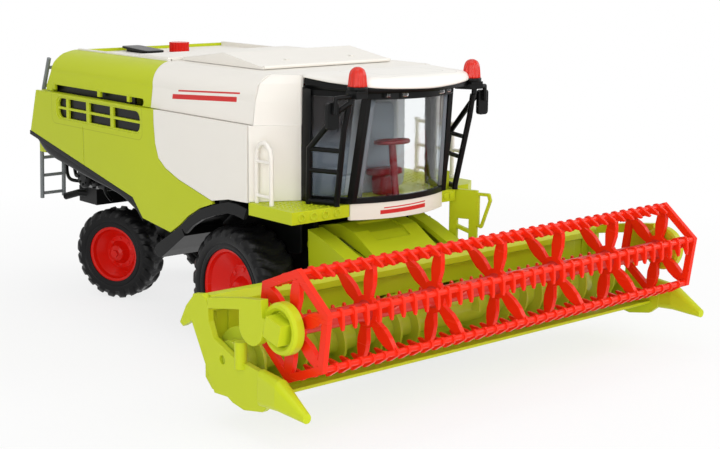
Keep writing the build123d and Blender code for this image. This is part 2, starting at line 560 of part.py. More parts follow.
with BuildPart() as front_band:
    with BuildSketch(Plane.XY.offset(93.3)) as strip:
        add(front_arc(CAB_Y, PLATFORM_FRONT_X + 0.5, 10, 2.5))
        make_face()
    extrude(strip.sketch, amount=10.1)
write(front_band.part, "front_band")

with BuildPart() as cab_floor:
    with BuildSketch(Plane.XY.offset(98.6)) as floor:
        with BuildLine():
            ThreePointArc((PLATFORM_FRONT_X - 2.3, -CAB_Y), (PLATFORM_FRONT_X + 7.6, 0),
                          (PLATFORM_FRONT_X - 2.3, CAB_Y))
            Polyline((PLATFORM_FRONT_X - 2.3, CAB_Y), (61.3, CAB_Y), (61.3, -CAB_Y),
                     (PLATFORM_FRONT_X - 2.3, -CAB_Y))
        make_face()
    extrude(floor.sketch, amount=4.4)
write(cab_floor.part, "cab_floor")

with BuildPart() as handrail:
    rail([(69.4, -78, 103), (69.4, -78, 131.5), (68.2, -78, 135.8), (65.4, -78, 138.8), (62.2, -78, 139.9),
          (59, -78, 138.8), (56.2, -78, 135.8), (55, -78, 131.5), (55, -78, 103)], 1.4)
    for z in (107.6, 128.4):
        rod((55, -78, z), (69.4, -78, z), 1.1)
write(handrail.part, "handrail_right")
with BuildPart() as handrail_left:
    for x, radius in ((29.0, 1.5), (62.5, 1.4)):
        rod((x, 78, FLOOR_Z + 0.2), (x, 78, 140.4), radius)
        for z, size in ((104.2, 2.1), (139.6, 1.9)):
            with Locations((x, 78, z)):
                Cylinder(size, 1.8)
    for z, x in ((106.5, 62.5), (122.0, 70.6), (138.3, 62.5)):
        rod((29, 78, z), (x, 78, z), 1.1)
    rod((69.6, 78, 122), (71.2, 78, 122), 1.8)
write(handrail_left.part, "handrail_left")

# ---------------------------------------------------------------- cab
FOOT_X, HEAD_X = 95.5, 103.5                  # front pillars at sill and head
FOOT_Y, HEAD_Y = 37.2, 33.4
with BuildPart() as cab_frame:
    for side in (-1, 1):
        bar((FOOT_X - 1, side * FOOT_Y, CAB_SILL_Z), (HEAD_X, side * HEAD_Y, CAB_HEAD_Z + 1), 3.4, 5.0)
        bar((69.5, side * 51.3, 103.3), (69.5, side * 50.5, 171.6), 4.4, 5.4)
        for z, x, y in ((167.4, HEAD_X, HEAD_Y), (103.4, FOOT_X - 1, FOOT_Y)):
            plate([(69, side * 52.8), (x + 1.5, side * (y + 1.6)), (x - 0.5, side * (y - 1.8)),
                   (69, side * 49.2)], Plane.XY.offset(z), 3.6)
    with BuildSketch(Plane.XY.offset(166.6)) as visor:
        add(front_arc(35.5, 105.5, 12, 4.5))
        make_face()
    extrude(visor.sketch, amount=5.2)
    with BuildSketch(Plane.XY.offset(103.4)) as sill:
        add(front_arc(38.4, FOOT_X, 9.4, 3.0))
        make_face()
    extrude(sill.sketch, amount=3.4)
    for y in (-25.0, -15.0, 15.0, 25.0):                       # working lamps under the roof
        x = 117.2 - 12 * (y / 35.5) ** 2
        with Locations(Location((x, y, 169.2), (0, 0, 24 * -y / 35.5))):
            Box(2.0, 6.4, 3.0)
write(cab_frame.part, "cab_frame")

with BuildPart() as windscreen:
    with BuildSketch(Plane.XY.offset(107.1)) as sill:
        with BuildLine():
            Line((94.6, -35), (95.8, -35))
            ThreePointArc((95.8, -35), (104.0, 0), (95.8, 35))
            Line((95.8, 35), (94.6, 35))
            ThreePointArc((94.6, 35), (102.8, 0), (94.6, -35))
        make_face()
    with BuildSketch(Plane.XY.offset(166.3)) as head:
        with BuildLine():
            Line((102.0, -31.4), (103.2, -31.4))
            ThreePointArc((103.2, -31.4), (113.4, 0), (103.2, 31.4))
            Line((103.2, 31.4), (102.0, 31.4))
            ThreePointArc((102.0, 31.4), (112.2, 0), (102.0, -31.4))
        make_face()
    loft([sill.sketch, head.sketch], ruled=True)
write(windscreen.part, "windscreen")

with BuildPart() as side_window:
    run = Vector(94.0 - 69.5, -37.6 + 51.3, 0).normalized()
    window_plane = Plane(origin=(70, -51, 0), x_dir=run, z_dir=Vector(run.Y, -run.X, 0))
    plate([(3.4, 107.2), (23.4, 107.2), (30.0, 167.1), (3.4, 167.1)], window_plane, 1.0)
with BuildPart() as side_windows:
    add(side_window.part)
    mirror(about=Plane.XZ)
write(side_windows.part, "side_windows")

with BuildPart() as cab_back:
    block((64.6, 66.6), (-48, LANDING_Y), (103.4, 171.6))
    block((66.6, 72), (-28, 14), (103.4, 116))
write(cab_back.part, "cab_back")

with BuildPart() as seat:
    with BuildSketch(right_side(9.5)) as cushion:
        Polygon((73.4, 114.5), (90.5, 116.5), (90.5, 120.5), (73.4, 119.5), align=None)
    extrude(cushion.sketch, amount=-19)
    with BuildSketch(Plane.YZ.offset(72.6)) as back:
        with Locations((2.2, 137.6)):
            RectangleRounded(23.4, 45, 6)
    extrude(back.sketch, amount=3.6)
    block((76, 87), (-6, 6), (103.3, 115.5))
write(seat.part, "seat")
with BuildPart() as console:
    rod((97, -4, 104.2), (93.2, -4, 138), 2.2)
    block((92.5, 100), (-8, 0), (103.2, 106))
    with Locations(Location((93.2, -4, 138.0), (0, -6, 0))):
        Torus(9.5, 1.5)
        for turn in (0, 120, 240):
            with Locations(Location((0, 0, 0), (0, 0, turn)) * Location((4.8, 0, 0))):
                Box(9.4, 2.0, 1.6)
        Cylinder(3.0, 3.4)
write(console.part, "steering_console")


def roof_plan(inset):
    """Outline of the cab roof pulled in by inset."""
    with BuildLine() as outline:
        Line((67 + inset, 52.5 - inset), (67 + inset, -52.5 + inset))
        Line((67 + inset, -52.5 + inset), (108 - inset, -40 + inset))
        ThreePointArc((108 - inset, -40 + inset), (123 - inset, 0), (108 - inset, 40 - inset))
        Line((108 - inset, 40 - inset), (67 + inset, 52.5 - inset))
    return outline.line


ROOF_STEPS = ((0, ROOF_Z[0]), (0, ROOF_Z[0] + 4.2), (1.6, ROOF_Z[1] - 1.6), (6.0, ROOF_Z[1]),
              (14.0, ROOF_Z[1] + 0.8))                       # inset, height
with BuildPart() as roof:
    for (inset0, z0), (inset1, z1) in zip(ROOF_STEPS, ROOF_STEPS[1:]):
        layers = []
        for inset, z in ((inset0, z0), (inset1, z1)):
            with BuildSketch(Plane.XY.offset(z)) as layer:
                add(roof_plan(inset))
                make_face()
            layers.append(layer.sketch)
        loft(layers, ruled=True)
write(roof.part, "cab_roof")

with BuildPart() as bracket:
    plate([(105, -37.2), (114, -42), (115, -51.5), (105.4, -51.5), (103.6, -43)],
          Plane.XY.offset(168.5), 3.2)
    plate([(105, -42.4), (114.4, -42.4), (115, -51.5), (105.4, -51.5)], Plane.XY.offset(171.5), 1.6)
    rail([(110, -50, 170), (107.6, -60.8, 169.2), (107.2, -61.5, 160)], 1.3)
    with BuildSketch(Plane.YZ.offset(103.8)) as glass:
        with Locations((-61.5, 158.8)):
            RectangleRounded(8.4, 15.6, 2.2)
    extrude(glass.sketch, amount=2.4)
with BuildPart() as mirrors:
    add(bracket.part)
    mirror(about=Plane.XZ)
write(mirrors.part, "mirror_brackets")

with BuildPart() as beacon:
    rod((110, -46.5, 173.2), (110, -46.5, 175.4), 5.0)
    turned_dome = [(0, 0), (4.2, 0), (4.0, 6.4), (3.1, 9.4), (1.6, 10.8), (0, 11.1)]
    with BuildSketch(Plane.XZ.offset(46.5)) as dome:
        with BuildLine():
            Polyline(*[(110 + r, 175.3 + z) for r, z in turned_dome], close=True)
        make_face()
    revolve(dome.sketch, axis=Axis((110, -46.5, 0), (0, 0, 1)))
with BuildPart() as beacons:
    add(beacon.part)
    mirror(about=Plane.XZ)
write(beacons.part, "beacons")

with BuildPart() as guard:
    loop = [(77, -56, 103.1), (77, -56, 106), (80, -58, 137), (104, -55, 161.5), (108.6, -50.5, 166)]
    rail(loop, 1.7)
    rod((108.6, -50.5, 165), (108.6, -50.5, 168.3), 1.7)
    rail([(95, -49, 103.1), (95, -49, 106), (104, -51.5, 150), (107.4, -50.6, 164.5)], 1.8)
    rod((77, -56, 105), (95, -49, 105), 1.7)
    rod((80, -58, 137), (101.4, -50.8, 137), 1.4)
    rod((78.9, -57.2, 124), (98.7, -50.1, 124), 1.4)
with BuildPart() as guards:
    add(guard.part)
    mirror(about=Plane.XZ)
write(guards.part, "window_guards")

# ---------------------------------------------------------------- header
PX, PZ = LIFT_PIVOT
HB = HEADER_BACK_X
UX, UZ = AUGER_AXIS
FEEDER_TOP = ((66, 84.6), (81, 80.2), (102, 71.6), (HB - 0.4, 68.6))       # x, z along the flanks
with BuildPart() as feeder:
    plate([*FEEDER_TOP, (HB - 0.4, 26), (67, 50)], right_side(FEEDER_HALF), -2 * FEEDER_HALF)
    plate([(60, 77.6), (80, 77.2), (HB - 3, 64), (HB + 5, 30), (62, 56)],
          right_side(FEEDER_HALF - WALL), -2 * (FEEDER_HALF - WALL), mode=Mode.SUBTRACT)
    for side in (-1, 1):
        plate([(60, 80.5), (HB - 8, 64.6), (HB - 8, 90), (60, 90)], right_side(26 if side < 0 else -36),
              10, mode=Mode.SUBTRACT)
        plate([(62, 78.3), (HB - 6, 64.9), (HB - 6, 62.5), (62, 75.9)],
              right_side(25.4 if side < 0 else -36.6), 11.2)
    plate([(50, 82), (70, 86), (84, 82.6), (104, 70.6), (104, 66), (70, 78), (62, 66), (50, 66)],
          right_side(26), -52)
    plate([(72, 92), (92, 92), (92, 76.6), (84, 81.2), (72, 84)], right_side(14), -28, mode=Mode.SUBTRACT)
    rod((PX, -37.8, PZ), (PX, 37.8, PZ), 3.0)
write(feeder.part, "feeder_house")

# Floor and back wall of the header: (x, z) round the section, then back along the inside.
TROUGH = [(HB, 70.8), (HB, 24), (HB + 6, 18.6), (146, 18.2), (160, 21.6), (170.4, 26.0), (170.0, 27.6),
          (158, 24.2), (146, 20.6), (HB + 8, 20.8), (HB + 2.4, 26), (HB + 2.4, 60.8), (HB + 8, 62.8),
          (HB + 8.4, 66.6), (HB + 5.8, 70.8)]
with BuildPart() as trough:
    plate(TROUGH, right_side(HEADER_HALF), -2 * HEADER_HALF)
    for side in (-1, 1):
        block((HB - 1, HB + 4), tuple(sorted((side * 20, side * 34))), (36, 50), mode=Mode.SUBTRACT)
    block((HB + 1.4, HB + 4), (-HEADER_HALF + 6, -HEADER_HALF + 14), (34, 62), mode=Mode.SUBTRACT)
    block((HB + 1.4, HB + 4), (HEADER_HALF - 14, HEADER_HALF - 6), (34, 62), mode=Mode.SUBTRACT)
    for y in (-104, -52, 52, 104):                             # stiffening ribs behind the back wall
        plate([(HB, 70), (HB, 26), (HB - 2.6, 30), (HB - 2.6, 66)], right_side(y + 1), -2)
write(trough.part, "header_trough")

# End plate of the header with its hook, tube and the tapered crop divider.
END_PLATE = [(104.6, 56.5), (106.4, 66.8), (107.6, 70.2), (116.2, 71.6), (119.6, 68.2), (121.6, 64.6),
             (121.8, 57.6), (126, 49.4), (144, 42.6), (166, 40.2), (177, 36.2), (175.4, 24), (169, 19.0),
             (153, 16.0), (143, 17.6), (138.5, 19.6), (126.5, 19.0)]
with BuildPart() as end_plate:
    plate(END_PLATE, right_side(HEADER_HALF + 0.3), 3.4)
    dividers = []
    for x, y, z, high, wide in ((170, 161.2, 32.6, 19.5, 6.6), (186, 161.4, 32.4, 16.6, 9.0),
                                (207, 161.6, 25.6, 5.0, 5.0)):
        with BuildSketch(Plane(origin=(x, -y, z), x_dir=(0, 1, 0), z_dir=(1, 0, 0))) as rib:
            RectangleRounded(wide, high, min(wide, high) * 0.45)
        dividers.append(rib.sketch)
    loft(dividers, ruled=True)
    plate([(97.4, 49.8), (94.4, 51.6), (100.6, 62.2), (106.8, 68.4), (112, 60), (105.4, 54.4)], right_side(HEADER_HALF + 0.3), 3.4)
    rod((UX, -165, UZ), (UX, -150, UZ), 2.5 + RUN_FIT, mode=Mode.SUBTRACT)
    rod((150, -160.2, 38), (150, -160.2, 52.6), 3.4)
with BuildPart() as end_plates:
    add(end_plate.part)
    mirror(about=Plane.XZ)
write(end_plates.part, "end_plates")

VX, VZ = REEL_AXIS
with BuildPart() as arm:
    with BuildSketch(right_side(HEADER_HALF)) as lever:
        with BuildLine():
            Polyline((122.2, 65.0), (122.2, 70.8), (150.6, 76.2), (169.4, 78.8), (171, 62))
            ThreePointArc((171, 62), (161.4, 53), (150.6, 61))
            Polyline((150.6, 61), (150.6, 70.2), (122.2, 65.0))
        make_face()
    extrude(lever.sketch, amount=4.6)
    with BuildSketch(right_side(HEADER_HALF - 3.4)) as hub:
        with Locations((VX + 1.5, VZ + 0.4)):
            Rectangle(12.5, 11.5, rotation=-14)
    extrude(hub.sketch, amount=10.4)
    with BuildSketch(right_side(HEADER_HALF)) as link:
        with Locations(((VX + 168) / 2, VZ + 1)):
            Rectangle(VX - 166, 7)
    extrude(link.sketch, amount=4.6)
    # Disc behind the hub: a thick rim with rounded shoulders round a dished face.
    turned([(-151.6, 0), (-151.6, 12.4), (-152.6, 13.8), (-157.0, 13.8), (-158.6, 12.9), (-158.9, 11.2),
            (-157.6, 9.6), (-155.4, 9.0), (-155.4, 0)], plane=Plane(origin=(VX, 0, VZ),
           x_dir=(0, 1, 0), z_dir=(1, 0, 0)), axis_at=(VX, 0, VZ))
    rod((VX, -158, VZ), (VX, -151, VZ), 4.0 + RUN_FIT, mode=Mode.SUBTRACT)
with BuildPart() as arms:
    add(arm.part)
    mirror(about=Plane.XZ)
write(arms.part, "reel_arms")

# The auger: a tube with a flight of each hand, feeding to the middle.
with BuildPart() as auger:
    rod((UX, -HEADER_HALF + 1, UZ), (UX, HEADER_HALF - 1, UZ), 9.6)
    rod((UX, -HEADER_HALF - 2, UZ), (UX, HEADER_HALF + 2, UZ), 2.5)
    for side in (-1, 1):
        start = Plane(origin=(UX, side * FLIGHT_START, UZ), x_dir=(1, 0, 0), z_dir=(0, side, 0))
        turns = Helix(AUGER_PITCH, FLIGHT_LENGTH, AUGER_R - 3.6, lefthand=side > 0)
        turns = start.location * turns
        with BuildSketch(Plane(origin=turns @ 0, x_dir=(turns @ 0 - start.origin).normalized(),
                               z_dir=turns % 0)) as blade:
            Rectangle(7.2, 1.6)
        sweep(blade.sketch, path=turns, is_frenet=True)
write(auger.part, "auger")

# ---------------------------------------------------------------- reel
def reel_point(index, radius, y):
    """Point at a bat's angle on the reel."""
    angle = math.radians(REEL_PHASE - 60 * index)
    return (VX + radius * math.cos(angle), y, VZ + radius * math.sin(angle))


BAY = 2 * (REEL_HALF - 1.5) / (REEL_STATIONS - 1)
ARM = ((8.0, 2.4), (16.0, 3.8), (21.5, 3.4), (REEL_R - 3, 2.2), (REEL_R, 1.7))      # distance out, half width
# Tine in its own (outwards, along the turn) plane: nub behind the bat, finger ahead of it.
TINE = [(2.6, 0.9), (1.5, 2.6), (-0.9, 2.7), (-2.0, 1.0), (-1.9, -3.2), (-1.5, -8.0), (-0.6, -8.7),
        (0.7, -6.6), (2.0, -2.0), (2.6, -0.5)]
with BuildPart() as tine:
    with BuildSketch(Plane.XZ.offset(-0.8)) as finger:
        with BuildLine():
            Polyline(*TINE, close=True)
        make_face()
    extrude(finger.sketch, amount=1.6)
with BuildPart() as reel:
    rod((VX, -REEL_HALF, VZ), (VX, REEL_HALF, VZ), 5.2)
    rod((VX, -HEADER_HALF, VZ), (VX, HEADER_HALF, VZ), 4.0)
    for station in range(REEL_STATIONS):
        y = -REEL_HALF + 1.5 + station * BAY
        with BuildSketch(Plane(origin=(VX, y + 1.5, VZ), x_dir=(1, 0, 0), z_dir=(0, -1, 0))) as star:
            for index in range(6):
                with Locations(Rot(0, 0, REEL_PHASE - 60 * index)):
                    Polygon(*ARM, *[(out, -half) for out, half in ARM[::-1]], align=None)
            Circle(9)
            if station in (0, REEL_STATIONS - 1):
                RegularPolygon(REEL_R + 2.6, 6, rotation=REEL_PHASE)
                RegularPolygon(REEL_R - 2.6, 6, rotation=REEL_PHASE, mode=Mode.SUBTRACT)
                for index in range(6):
                    with Locations(Rot(0, 0, REEL_PHASE - 60 * index)):
                        Polygon(*ARM[:4], *[(out, -half) for out, half in ARM[3::-1]], align=None)
                Circle(9)
        extrude(star.sketch, amount=3.0)
    bats, tines = [], []
    for index in range(6):
        angle = REEL_PHASE - 60 * index
        x, _, z = reel_point(index, REEL_R, 0)
        bats.append(Location((x, 0, z), (0, -angle, 0)))
        for step in range(1, (REEL_STATIONS - 1) * (TINES_PER_BAY + 1)):
            y = -REEL_HALF + 1.5 + step * BAY / (TINES_PER_BAY + 1)
            tines.append(Location((x, y, z), (0, TINE_LEAN - angle, 0)))
    with Locations(*bats):
        Cylinder(1.7, 2 * REEL_HALF - 2, rotation=(90, 0, 0))
    with Locations(*tines):
        add(tine.part)
write(reel.part, "reel")
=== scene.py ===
"""Looks of a toy combine harvester, laid over its solid model in the same frame.

Sizes in the classes are millimetres in the drawing's coordinates, whose origin lies DATUM
ahead of the middle of the footprint; every mesh is written in metres from that middle.
+X is the travel direction, +Y the machine's left, +Z up.
"""
import json
import logging
import math
from collections.abc import Callable
from dataclasses import dataclass, field, replace
from enum import Enum
from functools import cache, cached_property

import bpy
import numpy as np
from mathutils import Matrix, Vector


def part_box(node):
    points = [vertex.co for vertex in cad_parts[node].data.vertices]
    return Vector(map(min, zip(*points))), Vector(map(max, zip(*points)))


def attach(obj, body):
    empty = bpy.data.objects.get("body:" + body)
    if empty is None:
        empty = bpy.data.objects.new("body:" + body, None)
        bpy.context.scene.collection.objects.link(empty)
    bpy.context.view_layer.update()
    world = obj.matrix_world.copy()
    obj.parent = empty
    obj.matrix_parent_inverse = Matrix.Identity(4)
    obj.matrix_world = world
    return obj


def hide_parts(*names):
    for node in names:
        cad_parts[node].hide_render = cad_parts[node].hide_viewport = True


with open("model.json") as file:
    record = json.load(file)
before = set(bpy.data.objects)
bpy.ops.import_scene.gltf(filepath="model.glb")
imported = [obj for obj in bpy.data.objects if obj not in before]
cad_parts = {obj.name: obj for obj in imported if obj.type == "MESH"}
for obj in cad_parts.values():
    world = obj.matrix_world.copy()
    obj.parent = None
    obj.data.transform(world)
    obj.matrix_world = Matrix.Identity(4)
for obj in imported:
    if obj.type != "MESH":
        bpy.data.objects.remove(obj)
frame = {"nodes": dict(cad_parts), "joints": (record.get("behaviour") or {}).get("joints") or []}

MM = 0.001
DATUM = 4.0
LOG = logging.getLogger("harvester")
Array = np.ndarray
Colour = tuple[float, float, float, float]
Vec = tuple[float, float, float]
Material, Node, Socket = bpy.types.Material, bpy.types.Node, bpy.types.NodeSocket
Tree, Sockets = bpy.types.NodeTree, bpy.types.bpy_prop_collection
PLAIN_WHITE: Colour = (1.0, 1.0, 1.0, 1.0)


# ---- surfaces
@dataclass
class Surface:
    """Vertices in millimetres, and quads or triangles as index rows, the latter ended by -1."""

    points: Array
    faces: Array

    def moved(self, matrix: Array) -> "Surface":
        """Turned and shifted by a 4 x 4 matrix in millimetres."""
        return Surface(self.points @ matrix[:3, :3].T + matrix[:3, 3], self.faces)

    def repeated(self, matrices: Array) -> "Surface":
        """One copy for each matrix.

        Args:
            matrices: (copies, 4, 4) array of placements.

        Returns:
            All the copies as one surface: every matrix times every point.
        """
        count = len(self.points)
        points = np.einsum("kij,nj->kni", matrices[:, :3, :3], self.points)
        points = points + matrices[:, None, :3, 3]
        shift = (np.arange(len(matrices)) * count)[:, None, None]
        faces = np.where(self.faces[None] < 0, -1, self.faces[None] + shift)
        return Surface(points.reshape(-1, 3), faces.reshape(-1, 4))


def joined(*surfaces: Surface) -> Surface:
    """Join surfaces into one: the points in a row, and each one's faces moved on by the points
    before it.

    Args:
        surfaces: the surfaces.

    Returns:
        The joined surface.
    """
    starts = np.cumsum([0] + [len(s.points) for s in surfaces[:-1]])
    faces = [np.where(s.faces < 0, -1, s.faces + start) for s, start in zip(surfaces, starts)]
    return Surface(np.concatenate([s.points for s in surfaces]), np.concatenate(faces))


def circle(steps: int) -> Array:
    """Angles of evenly spaced samples, once round."""
    return np.linspace(0, 2 * np.pi, steps, endpoint=False)


def eased(value: Array) -> Array:
    """Value held between 0 and 1, with a soft start and end."""
    value = np.clip(value, 0, 1)
    return value * value * (3 - 2 * value)


def grid(points: Array, close_rows: bool = False, caps: bool = True) -> Surface:
    """Surface over a grid of points, in which every row is a closed ring.

    Args:
        points: (rows, columns, 3) array, row after row along the first parameter.
        close_rows: the last row joins the first.
        caps: where the rows stay open, the first and last get a fan to their middle.

    Returns:
        The surface; each quad joins (i, j), (i+1, j), (i+1, j+1) and (i, j+1).
    """
    rows, columns = points.shape[:2]
    index = np.arange(rows * columns).reshape(rows, columns)
    a, b = (index, np.roll(index, -1, axis=0)) if close_rows else (index[:-1], index[1:])
    faces = np.stack([a, b, np.roll(b, -1, axis=1), np.roll(a, -1, axis=1)], axis=-1)
    faces = faces.reshape(-1, 4)
    flat = points.reshape(-1, 3)
    if caps and not close_rows:
        first, last = index[0], index[-1]
        none, middle = np.full(columns, -1), np.full(columns, len(flat))
        start = np.stack([middle, first, np.roll(first, -1), none], axis=-1)
        end = np.stack([middle + 1, np.roll(last, -1), last, none], axis=-1)
        flat = np.concatenate([flat, [points[0].mean(axis=0), points[-1].mean(axis=0)]])
        faces = np.concatenate([faces, start, end])
    return Surface(flat, faces)


def smooth(knots: Array, per_span: int, closed: bool = False) -> Array:
    """Catmull-Rom line through knots.

    Args:
        knots: (n, d) array of points.
        per_span: samples between two knots.
        closed: the line returns to its start.

    Returns:
        The samples: each span is the cubic whose ends have the slope of the chord between
        the neighbours.
    """
    if closed:
        p0, p1, p2, p3 = (np.roll(knots, shift, axis=0) for shift in (1, 0, -1, -2))
    else:
        padded = np.concatenate([knots[:1], knots, knots[-1:]])
        p0, p1, p2, p3 = padded[:-3], padded[1:-2], padded[2:-1], padded[3:]
    t = (np.arange(per_span) / per_span)[None, :, None]
    p0, p1, p2, p3 = (p[:, None, :] for p in (p0, p1, p2, p3))
    line = 0.5 * (2 * p1 + (p2 - p0) * t + (2 * p0 - 5 * p1 + 4 * p2 - p3) * t ** 2
                  + (3 * p1 - p0 - 3 * p2 + p3) * t ** 3)
    line = line.reshape(-1, knots.shape[1])
    return line if closed else np.concatenate([line, knots[-1:]])


def turned(profile: Array, steps: int, about_y: bool = False) -> Surface:
    """Surface of revolution.

    Args:
        profile: (n, 2) array of radius and height along the axis, from one end to the other.
        steps: samples round the axis.
        about_y: the axis is Y instead of Z.

    Returns:
        The surface: the point at angle a is radius times (cos a, sin a) and the height.
    """
    angle = circle(steps)
    radius, height = profile[:, None, 0], profile[:, None, 1]
    ring = np.stack([radius * np.cos(angle), radius * np.sin(angle), height + 0 * angle], axis=-1)
    return grid(ring[..., (1, 2, 0)] if about_y else ring)


def swept(path: Array, radius: float, sides: int, up: Vec, squash: float = 1.0) -> Surface:
    """Round or flattened bar along a path.

    Args:
        path: (n, 3) array of points.
        radius: the bar's radius.
        sides: samples round the bar.
        up: a direction that the path never runs along.
        squash: the bar's height over its width.

    Returns:
        The surface: round each point, the tangent's cross product with up gives the width
        and a second cross product the height.
    """
    run = np.gradient(path, axis=0)
    run = run / np.linalg.norm(run, axis=1, keepdims=True)
    side = np.cross(run, np.array(up))
    side = side / np.linalg.norm(side, axis=1, keepdims=True)
    rise = np.cross(side, run)
    wide, high = np.cos(circle(sides)), np.sin(circle(sides))
    return grid(path[:, None] + radius * (wide[None, :, None] * side[:, None]
                                          + squash * high[None, :, None] * rise[:, None]))


def cushion(size: Vec, power: float = 4.0, columns: int = 24, rows: int = 12) -> Surface:
    """Rounded block: a superellipsoid.

    Args:
        size: full lengths along X, Y and Z.
        power: 2 is an ellipsoid; larger is squarer.
        columns: samples round Z.
        rows: samples from pole to pole.

    Returns:
        The surface: cosines and sines of longitude and latitude, each raised to 2 / power
        with its sign kept, times the half lengths.
    """
    lon = circle(columns)[None, :]
    lat = np.linspace(-np.pi / 2, np.pi / 2, rows + 2)[1:-1, None]

    def soft(value: Array) -> Array:
        """Signed power of value."""
        return np.sign(value) * np.abs(value) ** (2 / power)

    x = soft(np.cos(lat)) * soft(np.cos(lon))
    y = soft(np.cos(lat)) * soft(np.sin(lon))
    z = soft(np.sin(lat)) + 0 * lon
    points = np.stack([x, y, z], axis=-1) * np.array(size) / 2
    return grid(points)


def placed(at: Array) -> Array:
    """Unturned placements: a unit matrix for each position, which is its last column.

    Args:
        at: (n, 3) array of positions.

    Returns:
        (n, 4, 4) array of matrices.
    """
    matrices = np.tile(np.eye(4), (len(at), 1, 1))
    matrices[:, :3, 3] = at
    return matrices


def both_sides(x: float, y: float, z: float) -> Array:
    """The placements at -y and y."""
    return placed(np.array([[x, -y, z], [x, y, z]]))


def spot(x: float, y: float, z: float, turn: float = 0.0, tilt: float = 0.0) -> Array:
    """One placement.

    Args:
        x, y, z: the position.
        turn: turn about Z in degrees.
        tilt: turn about Y in degrees, made first.

    Returns:
        The 4 x 4 matrix: the turn times the tilt, and the position as its last column.
    """
    a, b = math.radians(turn), math.radians(tilt)
    about_z = np.array([[math.cos(a), -math.sin(a), 0], [math.sin(a), math.cos(a), 0], [0, 0, 1]])
    about_y = np.array([[math.cos(b), 0, math.sin(b)], [0, 1, 0], [-math.sin(b), 0, math.cos(b)]])
    matrix = placed(np.array([[x, y, z]]))[0]
    matrix[:3, :3] = about_z @ about_y
    return matrix


def meshed(name: str, surface: Surface, material: Material) -> bpy.types.Mesh:
    """Mesh of a surface, with its points scaled to metres.

    Args:
        name: the mesh's name.
        surface: the surface in millimetres.
        material: its material.

    Returns:
        The mesh.
    """
    mesh = bpy.data.meshes.new(name)
    rows = [row if row[3] >= 0 else row[:3] for row in surface.faces.tolist()]
    mesh.from_pydata((surface.points * MM).tolist(), [], rows)
    mesh.materials.append(material)
    return mesh


def linked(name: str, data: bpy.types.ID) -> bpy.types.Object:
    """Add an object to the scene.

    Args:
        name: its name.
        data: its mesh, lamp or camera.

    Returns:
        The object.
    """
    thing = bpy.data.objects.new(name, data)
    bpy.context.scene.collection.objects.link(thing)
    return thing


def shown(name: str, surface: Surface, finish: "Finish", body: str = "machine") -> bpy.types.Object:
    """Make a piece from a surface and let it ride.

    Args:
        name, finish: the piece's name and finish.
        surface: its shape in millimetres.
        body: the moving body that carries it.

    Returns:
        The new object, standing at the origin.
    """
    surface = Surface(surface.points + (DATUM, 0, 0), surface.faces)
    mesh = meshed(name, surface, finish.material)
    mesh.validate()
    mesh.polygons.foreach_set("use_smooth", np.ones(len(mesh.polygons), dtype=bool))
    mesh.update()
    piece = linked(name, mesh)
    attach(piece, body)
    LOG.info("%s: %d faces on %s", name, len(mesh.polygons), body)
    return piece


def box_mm(node: str) -> tuple[Array, Array]:
    """Lowest and highest corner of a solid, in drawing millimetres."""
    low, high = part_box(node)
    return np.array(low) / MM - (DATUM, 0, 0), np.array(high) / MM - (DATUM, 0, 0)


# ---- shader groups
SIGNS = {"*": "MULTIPLY", "-": "SUBTRACT", "+": "ADD", "/": "DIVIDE"}
FLOW_STRETCH = (30.0, 90.0, 260.0)  # flow marks to the metre along X, Y and Z
BEVEL_SAMPLES = 6
EDGE_HIGHLIGHT_GAIN = 3.0  # how fast a rounded edge takes its painted highlight
DUST_START = 0.35  # noise above which dust shows
PRINT_SHARPNESS, CORE_SHARPNESS = 8000.0, 4000.0  # edges fade within one over this, in metres


class Graph:
    """A node tree with short calls for adding and linking nodes."""

    def __init__(self, tree: Tree) -> None:
        """Keep the tree."""
        self.tree = tree

    def fill(self, socket: Socket, value: object) -> None:
        """Fill an input.

        Args:
            socket: the input.
            value: an output to link into it, or else its own value.
        """
        if isinstance(value, Socket):
            self.tree.links.new(value, socket)
        else:
            socket.default_value = value

    def add(self, kind: str, settings: dict | None = None, **values: object) -> Node:
        """Add a node.

        Args:
            kind: the node type's name without its ShaderNode start.
            settings: properties of the node itself.
            values: what fills the inputs, by name with _ for a blank or by i and number.

        Returns:
            The node.
        """
        node = self.tree.nodes.new("ShaderNode" + kind)
        for key, value in (settings or {}).items():
            setattr(node, key, value)
        for key, value in values.items():
            numbered = key[0] == "i" and key[1:].isdigit()
            self.fill(node.inputs[int(key[1:]) if numbered else key.replace("_", " ")], value)
        return node

    def math(self, operation: str, a: object, b: object = 0.0, clamp: bool = False) -> Socket:
        """Output of a Math node on a and b; operation is a sign or the node's own word."""
        settings = {"operation": SIGNS.get(operation, operation), "use_clamp": clamp}
        return self.add("Math", settings, i0=a, i1=b).outputs[0]

    def mix(self, factor: object, a: object, b: object, blend: str = "MIX") -> Socket:
        """Colour output of a Mix node from a to b."""
        settings = {"data_type": "RGBA", "blend_type": blend}
        return self.add("Mix", settings, i0=factor, i6=a, i7=b).outputs[2]

    def group(self, maker: Callable[[], Tree], **values: object) -> Sockets:
        """Outputs of a shared shader group whose inputs are filled with the values."""
        return self.add("Group", {"node_tree": maker()}, **values).outputs

    def seen(self) -> Socket:
        """Tell the rays by which a thing is seen: the greatest of three marks of the ray.

        Returns:
            An output that is 1 on rays from the camera, off a gloss or through clear plastic.
        """
        ray = self.add("LightPath").outputs
        direct = self.math("MAXIMUM", ray["Is Camera Ray"], ray["Is Transmission Ray"])
        return self.math("MAXIMUM", direct, ray["Is Glossy Ray"])


